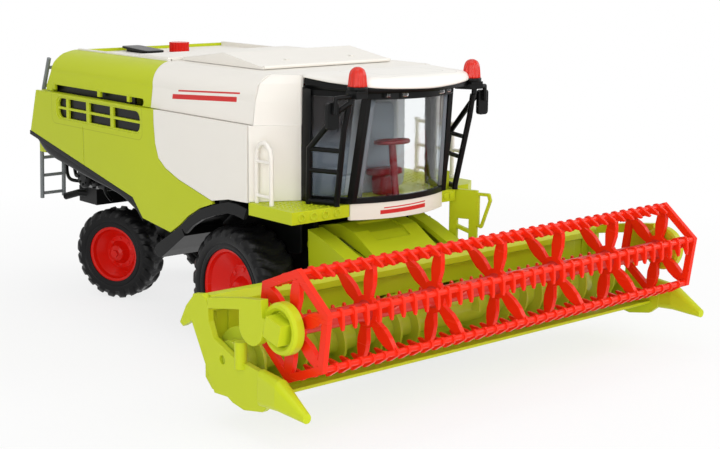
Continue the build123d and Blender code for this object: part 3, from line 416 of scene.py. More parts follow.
def new_group(name: str, inputs: tuple[str, ...],
              outputs: tuple[str, ...]) -> tuple[Graph, Sockets, Sockets]:
    """Start a shader group.

    Args:
        name: the group's name.
        inputs, outputs: their names; Vector and Normal are vectors, all else is a number.

    Returns:
        The group's graph, and by name what it is given and where its results go.
    """
    tree = bpy.data.node_groups.new(name, "ShaderNodeTree")
    for labels, way in ((inputs, "INPUT"), (outputs, "OUTPUT")):
        for label in labels:
            kind = "Vector" if label in ("Vector", "Normal") else "Float"
            tree.interface.new_socket(name=label, in_out=way, socket_type="NodeSocket" + kind)
    given, result = tree.nodes.new("NodeGroupInput"), tree.nodes.new("NodeGroupOutput")
    return Graph(tree), given.outputs, result.inputs


@cache
def moulded_grain() -> Tree:
    """Group for moulded plastic: cloudy shade, flow marks in the gloss and a fine grain.

    Returns:
        The group with outputs Shade (about 1), Rough (about 0) and Height (0 to 1).
    """
    g, given, result = new_group(
        "moulded_grain", ("Vector", "Cloud Scale", "Cloud", "Grain Scale", "Flow"),
        ("Shade", "Rough", "Height"))
    cloud = g.add("TexNoise", Vector=given["Vector"], Scale=given["Cloud Scale"], Detail=3.0)
    shade = g.math("*", g.math("-", cloud.outputs[0], 0.5), given["Cloud"])
    g.fill(result["Shade"], g.math("+", g.math("*", shade, 2.0), 1.0))
    stretch = g.add("Mapping", Vector=given["Vector"], Scale=FLOW_STRETCH)
    flow = g.add("TexNoise", Vector=stretch.outputs[0], Scale=1.0, Detail=2.0)
    rough = g.math("*", g.math("-", flow.outputs[0], 0.5), given["Flow"])
    g.fill(result["Rough"], rough)
    grain = g.add("TexNoise", Vector=given["Vector"], Scale=given["Grain Scale"], Detail=2.0)
    g.fill(result["Height"], grain.outputs[0])
    return g.tree


@cache
def rounded_edge_highlight() -> Tree:
    """Group for moulded edges: a rounded normal, and a mask of the corners on which a highlight is
    painted.

    Returns:
        The group with outputs Edge (0 to 1) and Normal.
    """
    g, given, result = new_group("rounded_edge_highlight", ("Radius",), ("Edge", "Normal"))
    soft = g.add("Bevel", {"samples": BEVEL_SAMPLES}, Radius=given["Radius"]).outputs[0]
    plain = g.add("NewGeometry").outputs["Normal"]
    same = g.add("VectorMath", {"operation": "DOT_PRODUCT"}, i0=soft, i1=plain)
    turn = g.math("-", 1.0, same.outputs["Value"])
    g.fill(result["Edge"], g.math("*", turn, EDGE_HIGHLIGHT_GAIN, clamp=True))
    g.fill(result["Normal"], soft)
    return g.tree


@cache
def settled_dust() -> Tree:
    """Group for dust: a patchy mask on faces that look up.

    Returns:
        The group with output Dust (0 to 1).
    """
    g, given, result = new_group("settled_dust", ("Vector", "Scale", "Amount"), ("Dust",))
    split = g.add("SeparateXYZ", Vector=g.add("NewGeometry").outputs["Normal"])
    up = g.math("MAXIMUM", split.outputs["Z"], 0.0)
    patch = g.add("TexNoise", Vector=given["Vector"], Scale=given["Scale"], Detail=5.0,
                  Roughness=0.7)
    spread = g.math("*", g.math("-", patch.outputs[0], DUST_START, clamp=True), up)
    g.fill(result["Dust"], g.math("*", spread, given["Amount"], clamp=True))
    return g.tree


@cache
def printed_band() -> Tree:
    """Group for a printed slanting stripe that runs along X, or along Y where Axis is 1.

    Returns:
        The group with output Band (0 to 1): the product of four steep ramps, over the foot,
        under the top and inwards from both ends.
    """
    g, given, result = new_group(
        "printed_band", ("Vector", "Low", "High", "Base", "Thick", "Slope", "Axis"), ("Band",))
    split = g.add("SeparateXYZ", Vector=given["Vector"]).outputs
    along_x = g.math("*", split["X"], g.math("-", 1.0, given["Axis"]))
    along = g.math("+", along_x, g.math("*", split["Y"], given["Axis"]))
    line = g.math("+", given["Base"], g.math("*", along, given["Slope"]))
    off = g.math("-", split["Z"], line)
    band = 1.0
    for edge in (off, g.math("-", given["Thick"], off),
                 g.math("-", along, given["Low"]),
                 g.math("-", given["High"], along)):
        ramp = g.math("*", edge, PRINT_SHARPNESS, clamp=True)
        band = g.math("*", band, ramp)
    g.fill(result["Band"], band)
    return g.tree


@cache
def moulded_groove() -> Tree:
    """Group for a groove along a rounded rectangle in the plane of its A and B inputs: the mask for
    its painted shade.

    Returns:
        The group with output Line (0 to 1): one minus the distance to the outline over the
        groove's width, the distance being that of a rounded box.
    """
    g, given, result = new_group(
        "moulded_groove",
        ("A", "B", "Centre A", "Centre B", "Half A", "Half B", "Corner", "Width"), ("Line",))
    inner = []
    for axis in ("A", "B"):
        off = g.math("ABSOLUTE", g.math("-", given[axis], given["Centre " + axis]))
        reach = g.math("-", given["Half " + axis], given["Corner"])
        inner.append(g.math("-", off, reach))
    squares = [g.math("POWER", g.math("MAXIMUM", q, 0.0), 2.0) for q in inner]
    far = g.math("SQRT", g.math("+", *squares))
    near = g.math("MINIMUM", g.math("MAXIMUM", *inner), 0.0)
    gap = g.math("ABSOLUTE", g.math("-", g.math("+", far, near), given["Corner"]))
    share = g.math("/", gap, given["Width"])
    g.fill(result["Line"], g.math("-", 1.0, share, clamp=True))
    return g.tree


@cache
def round_core() -> Tree:
    """Group for the middle of a turning piece: the radius less the distance from its axle along
    Y, as a steep ramp.

    Returns:
        The group with output Core, 1 inside the radius and 0 outside.
    """
    g, given, result = new_group("round_core", ("Vector", "X", "Z", "Radius"), ("Core",))
    split = g.add("SeparateXYZ", Vector=given["Vector"]).outputs
    squares = [g.math("POWER", g.math("-", split[axis], given[axis]), 2.0) for axis in ("X", "Z")]
    gap = g.math("-", given["Radius"], g.math("SQRT", g.math("+", *squares)))
    g.fill(result["Core"], g.math("*", gap, CORE_SHARPNESS, clamp=True))
    return g.tree


# ---- finishes
PLASTIC_IOR, GLAZING_IOR = 1.48, 1.3
CLOUD_SCALE, DUST_SCALE = 22.0, 55.0  # features to the metre, on plastic
SMEAR_SCALE, SPECK_SCALE = 40.0, 300.0  # and on glazing
DUST_COLOUR, DUST_ROUGHNESS = (0.62, 0.59, 0.54, 1.0), 0.5
GROOVE_SHADE, GROOVE_SHARE = 0.55, 0.7  # painted shade in a groove: how dark it makes the plastic, and its strength
# painted highlight on rounded edges: how much lighter, what is added, and its strength
EDGE_LIFT, EDGE_HIGHLIGHT_ADD, EDGE_STRENGTH = 1.25, 0.03, 4
GRAIN_DEPTH, SMEAR_DEPTH = 0.0003, 0.0005
BLEED_RADIUS, BLEED_DEPTH = (1.0, 0.8, 0.5), 0.003


def srgb(red: int, green: int, blue: int) -> Colour:
    """Linear colour of a screen colour, by the screen's own curve: a line up to 0.04045 and a
    power of 2.4 above.

    Args:
        red, green, blue: the screen colour, each from 0 to 255.

    Returns:
        The linear colour with an alpha of 1.
    """
    low = np.array([red, green, blue]) / 255
    linear = np.where(low <= 0.04045, low / 12.92, ((low + 0.055) / 1.055) ** 2.4)
    return (*map(float, linear), 1.0)


def blank(name: str) -> tuple[Material, Graph, Socket]:
    """Make an empty material.

    Args:
        name: its name.

    Returns:
        The material, its graph and the output with its object coordinates.
    """
    material = bpy.data.materials.new(name)
    material.use_nodes = True
    material.node_tree.nodes.clear()
    g = Graph(material.node_tree)
    return material, g, g.add("TexCoord").outputs["Object"]


@dataclass(frozen=True)
class Print:
    """A printed stripe: its ends along the axis, foot, thickness, slope and colour."""

    low: float
    high: float
    base: float
    thick: float
    slope: float = 0.0
    across: bool = False
    colour: Colour = srgb(206, 40, 38)

    def inputs(self) -> dict[str, float]:
        """Inputs of its group: the sizes in metres, and X moved on by the datum.

        Returns:
            The values by the inputs' names.
        """
        start = 0.0 if self.across else DATUM
        return {"Low": (self.low + start) * MM, "High": (self.high + start) * MM,
                "Base": (self.base - start * self.slope) * MM, "Thick": self.thick * MM,
                "Slope": self.slope, "Axis": float(self.across)}


@dataclass(frozen=True)
class Groove:
    """A moulded groove, drawn as a line of painted shade: its plane, centre, half lengths, corner
    radius and width.
    """

    plane: str
    centre: tuple[float, float]
    half: tuple[float, float]
    corner: float = 3.0
    width: float = 0.35

    def inputs(self) -> dict[str, float]:
        """Inputs of its group: the sizes in metres, and X moved on by the datum.

        Returns:
            The values by the inputs' names.
        """
        start = DATUM if self.plane[0] == "X" else 0.0
        return {"Centre_A": (self.centre[0] + start) * MM, "Centre_B": self.centre[1] * MM,
                "Half_A": self.half[0] * MM, "Half_B": self.half[1] * MM,
                "Corner": self.corner * MM, "Width": self.width * MM}


@dataclass(frozen=True)
class Core:
    """Another colour near an axle along Y."""

    x: float
    z: float
    radius: float
    colour: Colour

    def inputs(self) -> dict[str, float]:
        """Inputs of its group, in metres from the middle."""
        return {"X": (self.x + DATUM) * MM, "Z": self.z * MM, "Radius": self.radius * MM}


@dataclass(frozen=True)
class Plastic:
    """Moulded plastic: colours, gloss, grain, how strong a painted highlight its edges get and how
    much dust shows.
    """

    name: str
    colour: Colour
    roughness: float
    grain: float = 0.05
    grain_scale: float = 1400.0
    cloud: float = 0.03
    flow: float = 0.08
    # painted highlight on rounded edges: its strength, then the bevel radius and the highlight's
    # colour
    edge: float = 0.12
    edge_radius: float = 0.0005
    edge_highlight_colour: Colour | None = None
    dust: float = 0.0
    bleed: float = 0.0
    alpha: float = 1.0
    prints: tuple[Print, ...] = ()
    grooves: tuple[Groove, ...] = ()
    core: Core | None = None
    shine: float = 0.2

    def made(self) -> Material:
        """Build the material.

        Returns:
            The material: its colour under prints, grooves with painted shade, edges with a painted
            highlight and dust, in that order, with the grain as bump and flow marks in the gloss.
        """
        material, g, place = blank(self.name)
        grain = g.group(moulded_grain, Vector=place, Cloud_Scale=CLOUD_SCALE,
                        Cloud=self.cloud, Grain_Scale=self.grain_scale, Flow=self.flow)
        rounded_edges = g.group(rounded_edge_highlight, Radius=self.edge_radius)
        dust = g.group(settled_dust, Vector=place, Scale=DUST_SCALE, Amount=self.dust)["Dust"]
        colour = g.mix(1.0, self.colour, grain["Shade"], "MULTIPLY")
        if self.core:
            core = g.group(round_core, Vector=place, **self.core.inputs())
            colour = g.mix(core["Core"], colour, self.core.colour)
        for stripe in self.prints:
            band = g.group(printed_band, Vector=place, **stripe.inputs())
            colour = g.mix(band["Band"], colour, stripe.colour)
        # painted shade: the plastic is darkened along each groove
        if self.grooves:
            split = g.add("SeparateXYZ", Vector=place).outputs
            line = 0.0
            for groove in self.grooves:
                a, b = groove.plane
                cut = g.group(moulded_groove, A=split[a], B=split[b], **groove.inputs())
                line = g.math("MAXIMUM", line, cut["Line"])
            dark = tuple(c * GROOVE_SHADE for c in self.colour[:3]) + (1.0,)
            colour = g.mix(g.math("*", line, GROOVE_SHARE), colour, dark)
        # painted highlight: the rounded edges are lightened whatever the light
        painted_edge_highlight = self.edge_highlight_colour or tuple(
            min(1.0, c * EDGE_LIFT + EDGE_HIGHLIGHT_ADD) for c in self.colour[:3]) + (1.0,)
        edge = g.math("*", rounded_edges["Edge"], self.edge * EDGE_STRENGTH, clamp=True)
        colour = g.mix(dust, g.mix(edge, colour, painted_edge_highlight), DUST_COLOUR)
        rough = g.math("+", g.math("+", grain["Rough"], self.roughness),
                       g.math("*", dust, DUST_ROUGHNESS), clamp=True)
        bump = g.add("Bump", Strength=self.grain, Distance=GRAIN_DEPTH, Height=grain["Height"],
                     Normal=rounded_edges["Normal"])
        shader = g.add("BsdfPrincipled", Base_Color=colour, Roughness=rough,
                       Normal=bump.outputs[0], Alpha=self.alpha, Subsurface_Weight=self.bleed,
                       Subsurface_Radius=BLEED_RADIUS, Subsurface_Scale=BLEED_DEPTH,
                       IOR=PLASTIC_IOR, Specular_IOR_Level=self.shine)
        g.add("OutputMaterial", Surface=shader.outputs[0])
        return material


@dataclass(frozen=True)
class ClearSheet:
    """Clear glazing: its tint, gloss and smears, and where a painted reflection, another tint,
    starts above.
    """

    name: str
    tint: Colour
    roughness: float = 0.03
    smears: float = 0.06
    # painted reflection: another tint above the change height, faded in over fade
    painted_reflection_tint: Colour | None = None
    change: float = 142.0
    fade: float = 16.0

    def made(self) -> Material:
        """Build the material.

        Returns:
            The material: clear and smeared, and shadow rays pass through it, tinted; where given, a
                painted reflection changes the tint above a height.
        """
        material, g, place = blank(self.name)
        grain = g.group(moulded_grain, Vector=place, Cloud_Scale=SMEAR_SCALE, Cloud=0.5,
                        Grain_Scale=SPECK_SCALE, Flow=self.smears)
        rough = g.math("+", grain["Rough"], self.roughness + self.smears / 2, clamp=True)
        bump = g.add("Bump", Strength=0.02, Distance=SMEAR_DEPTH, Height=grain["Height"])
        tint = self.tint
        # painted reflection: the tint turns to the other one above the change height
        if self.painted_reflection_tint:
            height = g.add("SeparateXYZ", Vector=place).outputs["Z"]
            above = g.math("-", height, (self.change - self.fade / 2) * MM)
            share = g.math("*", above, 1 / (self.fade * MM), clamp=True)
            tint = g.mix(share, self.tint, self.painted_reflection_tint)
        shader = g.add("BsdfPrincipled", Base_Color=tint, Roughness=rough, IOR=GLAZING_IOR,
                       Transmission_Weight=1.0, Normal=bump.outputs[0])
        passing = g.add("BsdfTransparent", Color=tint)
        shadow = g.add("LightPath").outputs["Is Shadow Ray"]
        mixed = g.add("MixShader", i0=shadow, i1=shader.outputs[0], i2=passing.outputs[0])
        g.add("OutputMaterial", Surface=mixed.outputs[0])
        return material


class Finish(Enum):
    """Every finish on the toy."""

    LIME = Plastic("lime_plastic", srgb(190, 202, 30), 0.36, bleed=0.04, dust=0.04)
    LIME_SIDE = Plastic(
        "lime_side_plastic", srgb(188, 200, 30), 0.36, bleed=0.04, dust=0.03,
        grooves=(Groove("XZ", (-124.0, 139.2), (59.5, 11.6), 5.0),),
        prints=(Print(-140.1, -139.7, 88.0, 39.8, colour=srgb(150, 160, 22)),))
    LIME_CLEAR = Plastic(
        "lime_clear_plastic", srgb(200, 214, 60), 0.2, bleed=0.3, alpha=0.74, shine=0.5)
    WHITE = Plastic(
        "white_plastic", srgb(238, 234, 226), 0.38, cloud=0.015, dust=0.08, edge=0.05, shine=0.3)
    WHITE_SHELL = replace(WHITE, name="white_shell_plastic", prints=(
        Print(-36.0, 33.0, 159.4, 3.2, 0.06), Print(-30.0, 36.0, 164.2, 1.2, 0.06)))
    WHITE_ROOF = Plastic(
        "white_roof_plastic", srgb(240, 237, 230), 0.36, cloud=0.015, dust=0.05, edge=0.05,
        shine=0.4, grooves=(Groove("XY", (95.0, 0.0), (15.0, 25.0), 6.0, 0.45),
                            Groove("XY", (94.0, 0.0), (20.5, 34.0), 9.0)))
    WHITE_BAND = Plastic(
        "white_band_plastic", srgb(234, 229, 219), 0.4, cloud=0.02, dust=0.12, edge=0.05,
        shine=0.35, prints=(Print(-20.5, 15.5, 96.4, 2.6, 0.02, across=True),
                            Print(-18.0, 15.5, 99.8, 0.8, 0.02, across=True)))
    BLACK = Plastic(
        "black_plastic", srgb(13, 14, 14), 0.3, grain=0.15, cloud=0.1, edge=0.1,
        edge_highlight_colour=(0.02, 0.02, 0.021, 1.0), dust=0.02, shine=0.14)
    RUBBER = Plastic(
        "tyre_rubber", srgb(21, 21, 22), 0.34, grain=0.25, grain_scale=900.0, cloud=0.12,
        edge_radius=0.0008, edge_highlight_colour=(0.022, 0.022, 0.024, 1.0), dust=0.03, shine=0.16)
    RED = Plastic("red_plastic", srgb(214, 22, 10), 0.26, bleed=0.03, shine=0.22)
    REEL = Plastic("reel_plastic", srgb(236, 42, 14), 0.26, bleed=0.05,
                   core=Core(180.0, 65.0, 6.4, srgb(206, 52, 44)))
    DARK_RED = Plastic("dark_red_plastic", srgb(104, 18, 24), 0.28, shine=0.25)
    GREY = Plastic("grey_plastic", srgb(124, 128, 129), 0.45, dust=0.03)
    SEAT = Plastic("seat_clear_plastic", srgb(120, 127, 134), 0.22, alpha=0.7, shine=0.4)
    BACK_SHEET = Plastic("back_clear_plastic", srgb(176, 181, 185), 0.18, alpha=0.55, shine=0.5)
    BEACON = Plastic(
        "beacon_plastic", srgb(214, 34, 12), 0.12, bleed=0.05, cloud=0.0, shine=0.4, alpha=0.93)
    SILVER = Plastic("mirror_silver", srgb(200, 203, 206), 0.12, shine=0.8)
    CLEAR = ClearSheet("clear_glazing", srgb(244, 247, 248))
    # side windows: darker towards the top, a painted reflection
    SMOKE_PAINTED_REFLECTION = ClearSheet("smoke_glazing_painted_reflection", srgb(196, 204, 214), painted_reflection_tint=srgb(118, 112, 112))
    LENS = ClearSheet("lamp_lens", srgb(245, 245, 240), 0.08)

    @cached_property
    def material(self) -> Material:
        """The finish's material, built on first use."""
        return self.value.made()


# ---- sub-assemblies
@dataclass
class Mouldings:
    """The finish of every solid that stays visible."""

    nodes: dict[Finish, str] = field(default_factory=lambda: {
        Finish.LIME: "hood rear_wall platform_right platform_left cab_floor feeder_house "
                     "header_trough end_plates reel_arms",
        Finish.LIME_SIDE: "panel_green_right panel_green_left",
        Finish.WHITE_SHELL: "top_shell",
        Finish.WHITE_BAND: "front_band",
        Finish.LIME_CLEAR: "auger",
        Finish.WHITE: "panel_white_right panel_white_left corner_right corner_left tank_lid "
                      "handrail_right handrail_left deck landing_walls",
        Finish.BLACK: "chassis front_axle rear_axle knuckle_right knuckle_left skirts "
                      "vent_backs fenders spreader tow_hitch cab_frame mirror_brackets "
                      "window_guards",
        Finish.RED: "rim_front_right rim_front_left rim_rear_right rim_rear_left steering_knob",
        Finish.REEL: "reel",
        Finish.DARK_RED: "steering_console",
        Finish.GREY: "rear_ladder",
        Finish.CLEAR: "windscreen",
        Finish.SMOKE_PAINTED_REFLECTION: "side_windows"})

    def dress(self) -> None:
        """Give every solid its material."""
        for finish, names in self.nodes.items():
            for name in names.split():
                for slot in frame["nodes"][name].material_slots:
                    slot.material = finish.material
                LOG.info("%s: %s", name, finish.value.name)


@dataclass
class Tyre:
    """A rubber tyre with two rows of slanting lugs that wrap over its shoulders.

    A lug's width, flank and taper are shares of half the pitch from lug to lug.
    """

    wheel: str
    rim: float
    lugs: int
    lug: float
    width: float
    slant: float = 0.9
    lug_width: float = 0.62
    flank: float = 0.12
    taper: float = 0.74
    reach: float = 5.4
    foot: float = 1.1
    spread: float = 0.35
    overlap: float = 1.0  # a lug's inner end past the middle of the tread
    inner_fade: float = 0.8
    low_share: float = 0.45  # a lug's height in the middle over that at the shoulder
    climb_start: float = 0.25
    climb: float = 0.35
    steps: int = 22

    def section(self, radius: float) -> Array:
        """Outline of the carcass, from bead over tread to bead: a smooth line through one side's
        stations and their mirror images.

        Args:
            radius: the tyre's radius over its lugs.

        Returns:
            (n, 2) array of the closed outline as (across, radius).
        """
        half, core, rim = self.width / 2, radius - self.lug, self.rim
        side = [(half - 2.6, rim - 0.6), (half - 0.9, rim + 0.3), (half - 0.5, rim + 2.2),
                (half - 1.0, rim + 3.0), (half - 0.3, rim + 3.9),
                (half, (rim + core) / 2 + 0.6), (half - 0.5, core - 4.2),
                (half - 2.4, core - 1.6), (half * 0.45, core - 0.3)]
        right = [(-y, r) for y, r in side]
        return smooth(np.array(right + side[::-1]), 4, closed=True)

    def surface(self, radius: float) -> Surface:
        """The tyre about Y at the origin.

        Args:
            radius: radius over the lugs.

        Returns:
            The surface: the carcass outline turned round the axle and pushed out along its
            normal by the lug height, times an eased step in the angle that slants with the
            distance from the middle, an eased fade down the sidewall, and a ramp up to the
            shoulder.
        """
        half, core = self.width / 2, radius - self.lug
        outline = self.section(radius)
        along = np.roll(outline, -1, axis=0) - np.roll(outline, 1, axis=0)
        normal = np.stack([-along[:, 1], along[:, 0]], axis=1)
        normal /= np.linalg.norm(normal, axis=1, keepdims=True)
        angle = circle(self.lugs * self.steps)[:, None]
        across, ring = outline[None, :, 0], outline[None, :, 1]
        push = np.zeros((len(angle), len(outline)))
        for side, shift in ((-1, 0.0), (1, 0.5)):
            run = across * side
            phase = angle * self.lugs / (2 * np.pi) + shift - self.slant * run / half
            off = np.abs(phase - np.round(phase)) * 2
            rise = eased((self.lug_width - off) / self.flank)
            reach = self.reach * np.sqrt(np.clip(1 - (off / self.taper) ** 4, 0, 1))
            fade = eased((reach - (core - ring)) / self.foot)
            middle = np.clip((run + self.overlap) / self.inner_fade, 0, 1)
            climb = np.clip((run / half - self.climb_start) / self.climb, 0, 1)
            shoulder = self.low_share + (1 - self.low_share) * climb
            push = np.maximum(push, rise * fade * middle * shoulder)
        lift = self.lug * push
        y = np.clip(across + normal[None, :, 0] * lift * self.spread, -half, half)
        r = np.minimum(ring + normal[None, :, 1] * lift, radius - 0.02)
        points = np.stack([r * np.cos(angle), y, r * np.sin(angle)], axis=-1)
        return grid(points, close_rows=True)

    def build(self) -> None:
        """Build the tyre where its solid stands, turned to its axle."""
        node, body = f"tyre_{self.wheel}", f"wheel_{self.wheel}"
        low, high = box_mm(node)
        joint = next(j for j in frame["joints"] if j["name"] == body + "_spin")
        turn = math.degrees(math.atan2(-joint["axis"][0], joint["axis"][1]))
        tyre = self.surface((high[2] - low[2]) / 2).moved(spot(*(low + high) / 2, turn))
        piece = shown(node + "_tread", tyre, Finish.RUBBER, body)
        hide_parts(node)


@dataclass
class Platforms:
    """Raised anti-slip studs on the platforms."""

    pitch: float = 4.2
    radius: float = 0.8
    height: float = 0.45
    right_margin: tuple[Vec, Vec] = ((5, 5, 0), (4, 5, 0))
    step: tuple[tuple[float, float], ...] = ((66.0, 44.0), (84.0, 64.0))
    landing: tuple[tuple[float, float], ...] = ((14.0, 32.0), (58.0, 72.0))
    left_top: float = 103.0

    def studs(self, low: Array, high: Array, top: float) -> Surface:
        """Studs in staggered rows over a rectangle.

        Args:
            low, high: its corners in X and Y.
            top: height of the tread.

        Returns:
            The surface: a low dome turned about Z at each point of a staggered grid.
        """
        counts = [int((high[axis] - low[axis]) / self.pitch) + 1 for axis in (0, 1)]
        i, j = np.meshgrid(*map(np.arange, counts), indexing="ij")
        x = low[0] + i * self.pitch + (j % 2) * self.pitch / 2
        y = low[1] + j * self.pitch
        keep = x <= high[0]
        at = np.stack([x[keep], y[keep], np.full(keep.sum(), top)], axis=1)
        dome = np.array([[self.radius, -0.05], [self.radius, self.height * 0.35],
                         [self.radius * 0.72, self.height * 0.85],
                         [self.radius * 0.3, self.height]])
        return turned(dome, 8).repeated(placed(at))

    def build(self) -> None:
        """Put studs on both platforms."""
        low, high = box_mm("platform_right")
        start, end = self.right_margin
        right = self.studs(low + start, high - end, high[2])
        shown("treads_right", right, Finish.LIME)
        left = (self.studs(*np.array(area), self.left_top) for area in (self.step, self.landing))
        shown("treads_left", joined(*left), Finish.LIME)


@dataclass
class Beacon:
    """A rotating beacon: a ribbed dome on a black collar."""

    radius: float = 5.5
    height: float = 11.4
    ribs: int = 12
    rib_height: float = 0.05
    taper: float = 0.16
    foot: float = 175.3
    x: float = 110.0
    y: float = 46.5

    def dome(self) -> Surface:
        """Ribbed dome.

        Returns:
            The surface: a tapering profile turned about Z, its radius lifted by a cosine with
            one wave to a rib.
        """
        t = np.linspace(0, 1, 16)[:, None]
        angle = circle(self.ribs * 8)[None, :]
        radius = self.radius * (1 - self.taper * t)
        radius = radius * np.sqrt(np.clip(1 - (t * 0.985) ** 6, 0, 1))
        wave = np.cos(self.ribs * angle) * np.clip(1 - t ** 4, 0, 1)
        radius = radius * (1 + self.rib_height * wave)
        points = np.stack([radius * np.cos(angle), radius * np.sin(angle),
                           self.height * t + 0 * angle], axis=-1)
        return grid(points)

    def build(self) -> None:
        """Build both beacons in place of their solid."""
        spots = both_sides(self.x, self.y, self.foot)
        domes = shown("beacon_domes", self.dome().repeated(spots), Finish.BEACON)
        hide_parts("beacons")
        collar = np.array([[5.9, -2.1], [6.1, -1.9], [6.1, -0.3], [5.9, 0.0], [5.4, 0.1]])
        shown("beacon_collars", turned(collar, 40).repeated(spots), Finish.BLACK)


@dataclass
class CabFittings:
    """The cab's mirror glasses, lamp lenses, seat, back sheet and trims."""

    mirror: Vec = (103.7, 61.5, 158.8)
    mirror_size: Vec = (0.6, 6.6, 13.6)
    lamp_size: Vec = (0.9, 5.6, 2.4)
    lamp_sides: tuple[float, ...] = (-25.0, -15.0, 15.0, 25.0)
    lamp_height: float = 169.2
    lamp_front: float = 118.2
    lamp_bow: float = 12.0  # how far the front falls back at lamp_reach from the middle
    lamp_reach: float = 35.5
    back_size: Vec = (3.2, 23.2, 44.6)
    back_at: Vec = (74.4, 2.2, 137.6)
    pad_size: Vec = (17.0, 19.0, 5.0)
    pad_at: Vec = (82.0, 0.0, 118.0)
    pad_tilt: float = -6.0
    base_size: Vec = (11.0, 12.0, 13.4)
    base_at: Vec = (81.5, 0.0, 110.2)
    sheet_thick: float = 2.0
    sheet_width: float = 79.0
    sheet_at: tuple[float, float] = (65.6, -8.2)
    box_size: Vec = (5.4, 42.0, 12.6)
    box_at: Vec = (69.2, -7.0, 109.7)
    post: tuple[Vec, Vec] = ((70.6, 52.9, 103.9), (70.6, 52.5, 171.2))
    post_radius: float = 4.0
    strip: tuple[Vec, Vec] = ((97.3, 33.2, 107.6), (104.6, 29.6, 165.8))
    strip_radius: float = 1.8

    def build(self) -> None:
        """Build the fittings; the lamps follow the roof's curved front as a parabola."""
        glass = cushion(self.mirror_size, 6.0).repeated(both_sides(*self.mirror))
        shown("mirror_glasses", glass, Finish.SILVER)
        y = np.array(self.lamp_sides)
        x = self.lamp_front - self.lamp_bow * (y / self.lamp_reach) ** 2
        lamps = np.stack([x, y, np.full(len(y), self.lamp_height)], axis=1)
        lens = cushion(self.lamp_size, 4.0, 20, 8)
        shown("lamp_lenses", lens.repeated(placed(lamps)), Finish.LENS)
        self.seat()
        self.trims()

    def seat(self) -> None:
        """Clear grey backrest and dark red base, and the clear sheet behind them."""
        back = cushion(self.back_size, 7.0, 48, 24).moved(spot(*self.back_at))
        rest = shown("seat_back", back, Finish.SEAT)
        pad = cushion(self.pad_size, 5.0, 40, 14).moved(spot(*self.pad_at, tilt=self.pad_tilt))
        base = cushion(self.base_size, 6.0, 32, 14).moved(spot(*self.base_at))
        bottom = shown("seat_pad", joined(pad, base), Finish.DARK_RED)
        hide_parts("seat")
        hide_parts("seat")
        low, high = box_mm("cab_back")
        sheet = cushion((self.sheet_thick, self.sheet_width, high[2] - low[2]), 16.0, 64, 32)
        sheet = sheet.moved(spot(*self.sheet_at, (low[2] + high[2]) / 2))
        box = cushion(self.box_size, 9.0, 40, 20).moved(spot(*self.box_at))
        back = shown("cab_back_sheet", joined(sheet, box), Finish.BACK_SHEET)
        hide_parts("cab_back")

    def trims(self) -> None:
        """Black door posts and pale strips beside the windscreen, as flattened swept bars."""
        t = np.linspace(0, 1, 8)[:, None]
        posts, strips = [], []
        for side in (-1, 1):
            low, high = np.array(self.post) * (1, side, 1)
            posts.append(swept(low + (high - low) * t, self.post_radius, 16, (0, 1, 0), 0.2))
            low, high = np.array(self.strip) * (1, side, 1)
            strips.append(swept(low + (high - low) * t, self.strip_radius, 12, (1, 0, 0), 0.3))
        shown("door_posts", joined(*posts), Finish.BLACK)
        shown("screen_strips", joined(*strips), Finish.SEAT)


@dataclass
class CabRoof:
    """The cab's white roof: a shell whose brim dips in front, over a black head band."""

    corner: tuple[float, float] = (110.0, 44.0)
    middle: tuple[float, float] = (95.0, 0.0)
    crown: float = 181.0
    band_foot: float = 170.9
    samples: int = 10
    brim_x: tuple[float, ...] = (67.0, 88.0, 105.0, 112.0, 119.0, 123.0)
    brim_z: tuple[float, ...] = (177.8, 176.0, 175.4, 174.8, 173.3, 172.7)

    def plan(self) -> Array:
        """Outline of the roof from above: a smooth line through one side's stations and their
        mirror images, closed by a straight back edge.

        Returns:
            (n, 2) array of the outline as (x, y), once round.
        """
        x, y = self.corner
        half = [(67.0, 52.5), (78.0, 51.0), (94.0, 48.2), (104.5, 46.4), (x, y),
                (x + 4.8, y - 7), (x + 9.6, y - 23), (x + 12.9, 0.0)]
        right = np.array([(a, -b) for a, b in half])
        left = np.array(half[-2::-1])
        side = smooth(np.concatenate([right, left]), self.samples)
        back = np.linspace(0, 1, 12)[1:-1, None]
        return np.concatenate([side, side[-1] + (side[0] - side[-1]) * back])

    def brim(self, x: Array) -> Array:
        """Height of the roof's lower edge over x, straight between stations."""
        return np.interp(x, self.brim_x, self.brim_z)

    def rings(self, steps: list[tuple[float, float]]) -> Array:
        """Rings of the shell.

        Args:
            steps: for each ring the share by which the plan is drawn towards the middle and
                the share of the way from brim to crown.

        Returns:
            (rings, points, 3) array: the plan drawn in, at a height from brim to crown.
        """
        plan = self.plan()
        low = self.brim(plan[:, 0])
        rings = []
        for shrink, rise in steps:
            flat = np.array(self.middle) + (plan - self.middle) * (1 - shrink)
            rings.append(np.column_stack([flat, low + (self.crown - low) * rise]))
        return np.stack(rings)

    def build(self) -> None:
        """Build the shell in place of the roof's solid, and the band below it."""
        shell = self.rings([(0.12, 0.2), (0.02, 0.04), (0.0, 0.0), (-0.004, 0.12), (0.004, 0.35),
                            (0.03, 0.62), (0.09, 0.82), (0.2, 0.92), (0.4, 0.975), (0.7, 1.0)])
        roof = shown("roof_shell", grid(shell), Finish.WHITE_ROOF)
        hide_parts("cab_roof")
        band = self.rings([(0.02, 0.0), (0.02, 0.3), (0.06, 0.3), (0.06, 0.0)])
        band[0, :, 2] = band[3, :, 2] = self.band_foot
        shown("roof_band", grid(band, close_rows=True), Finish.BLACK)


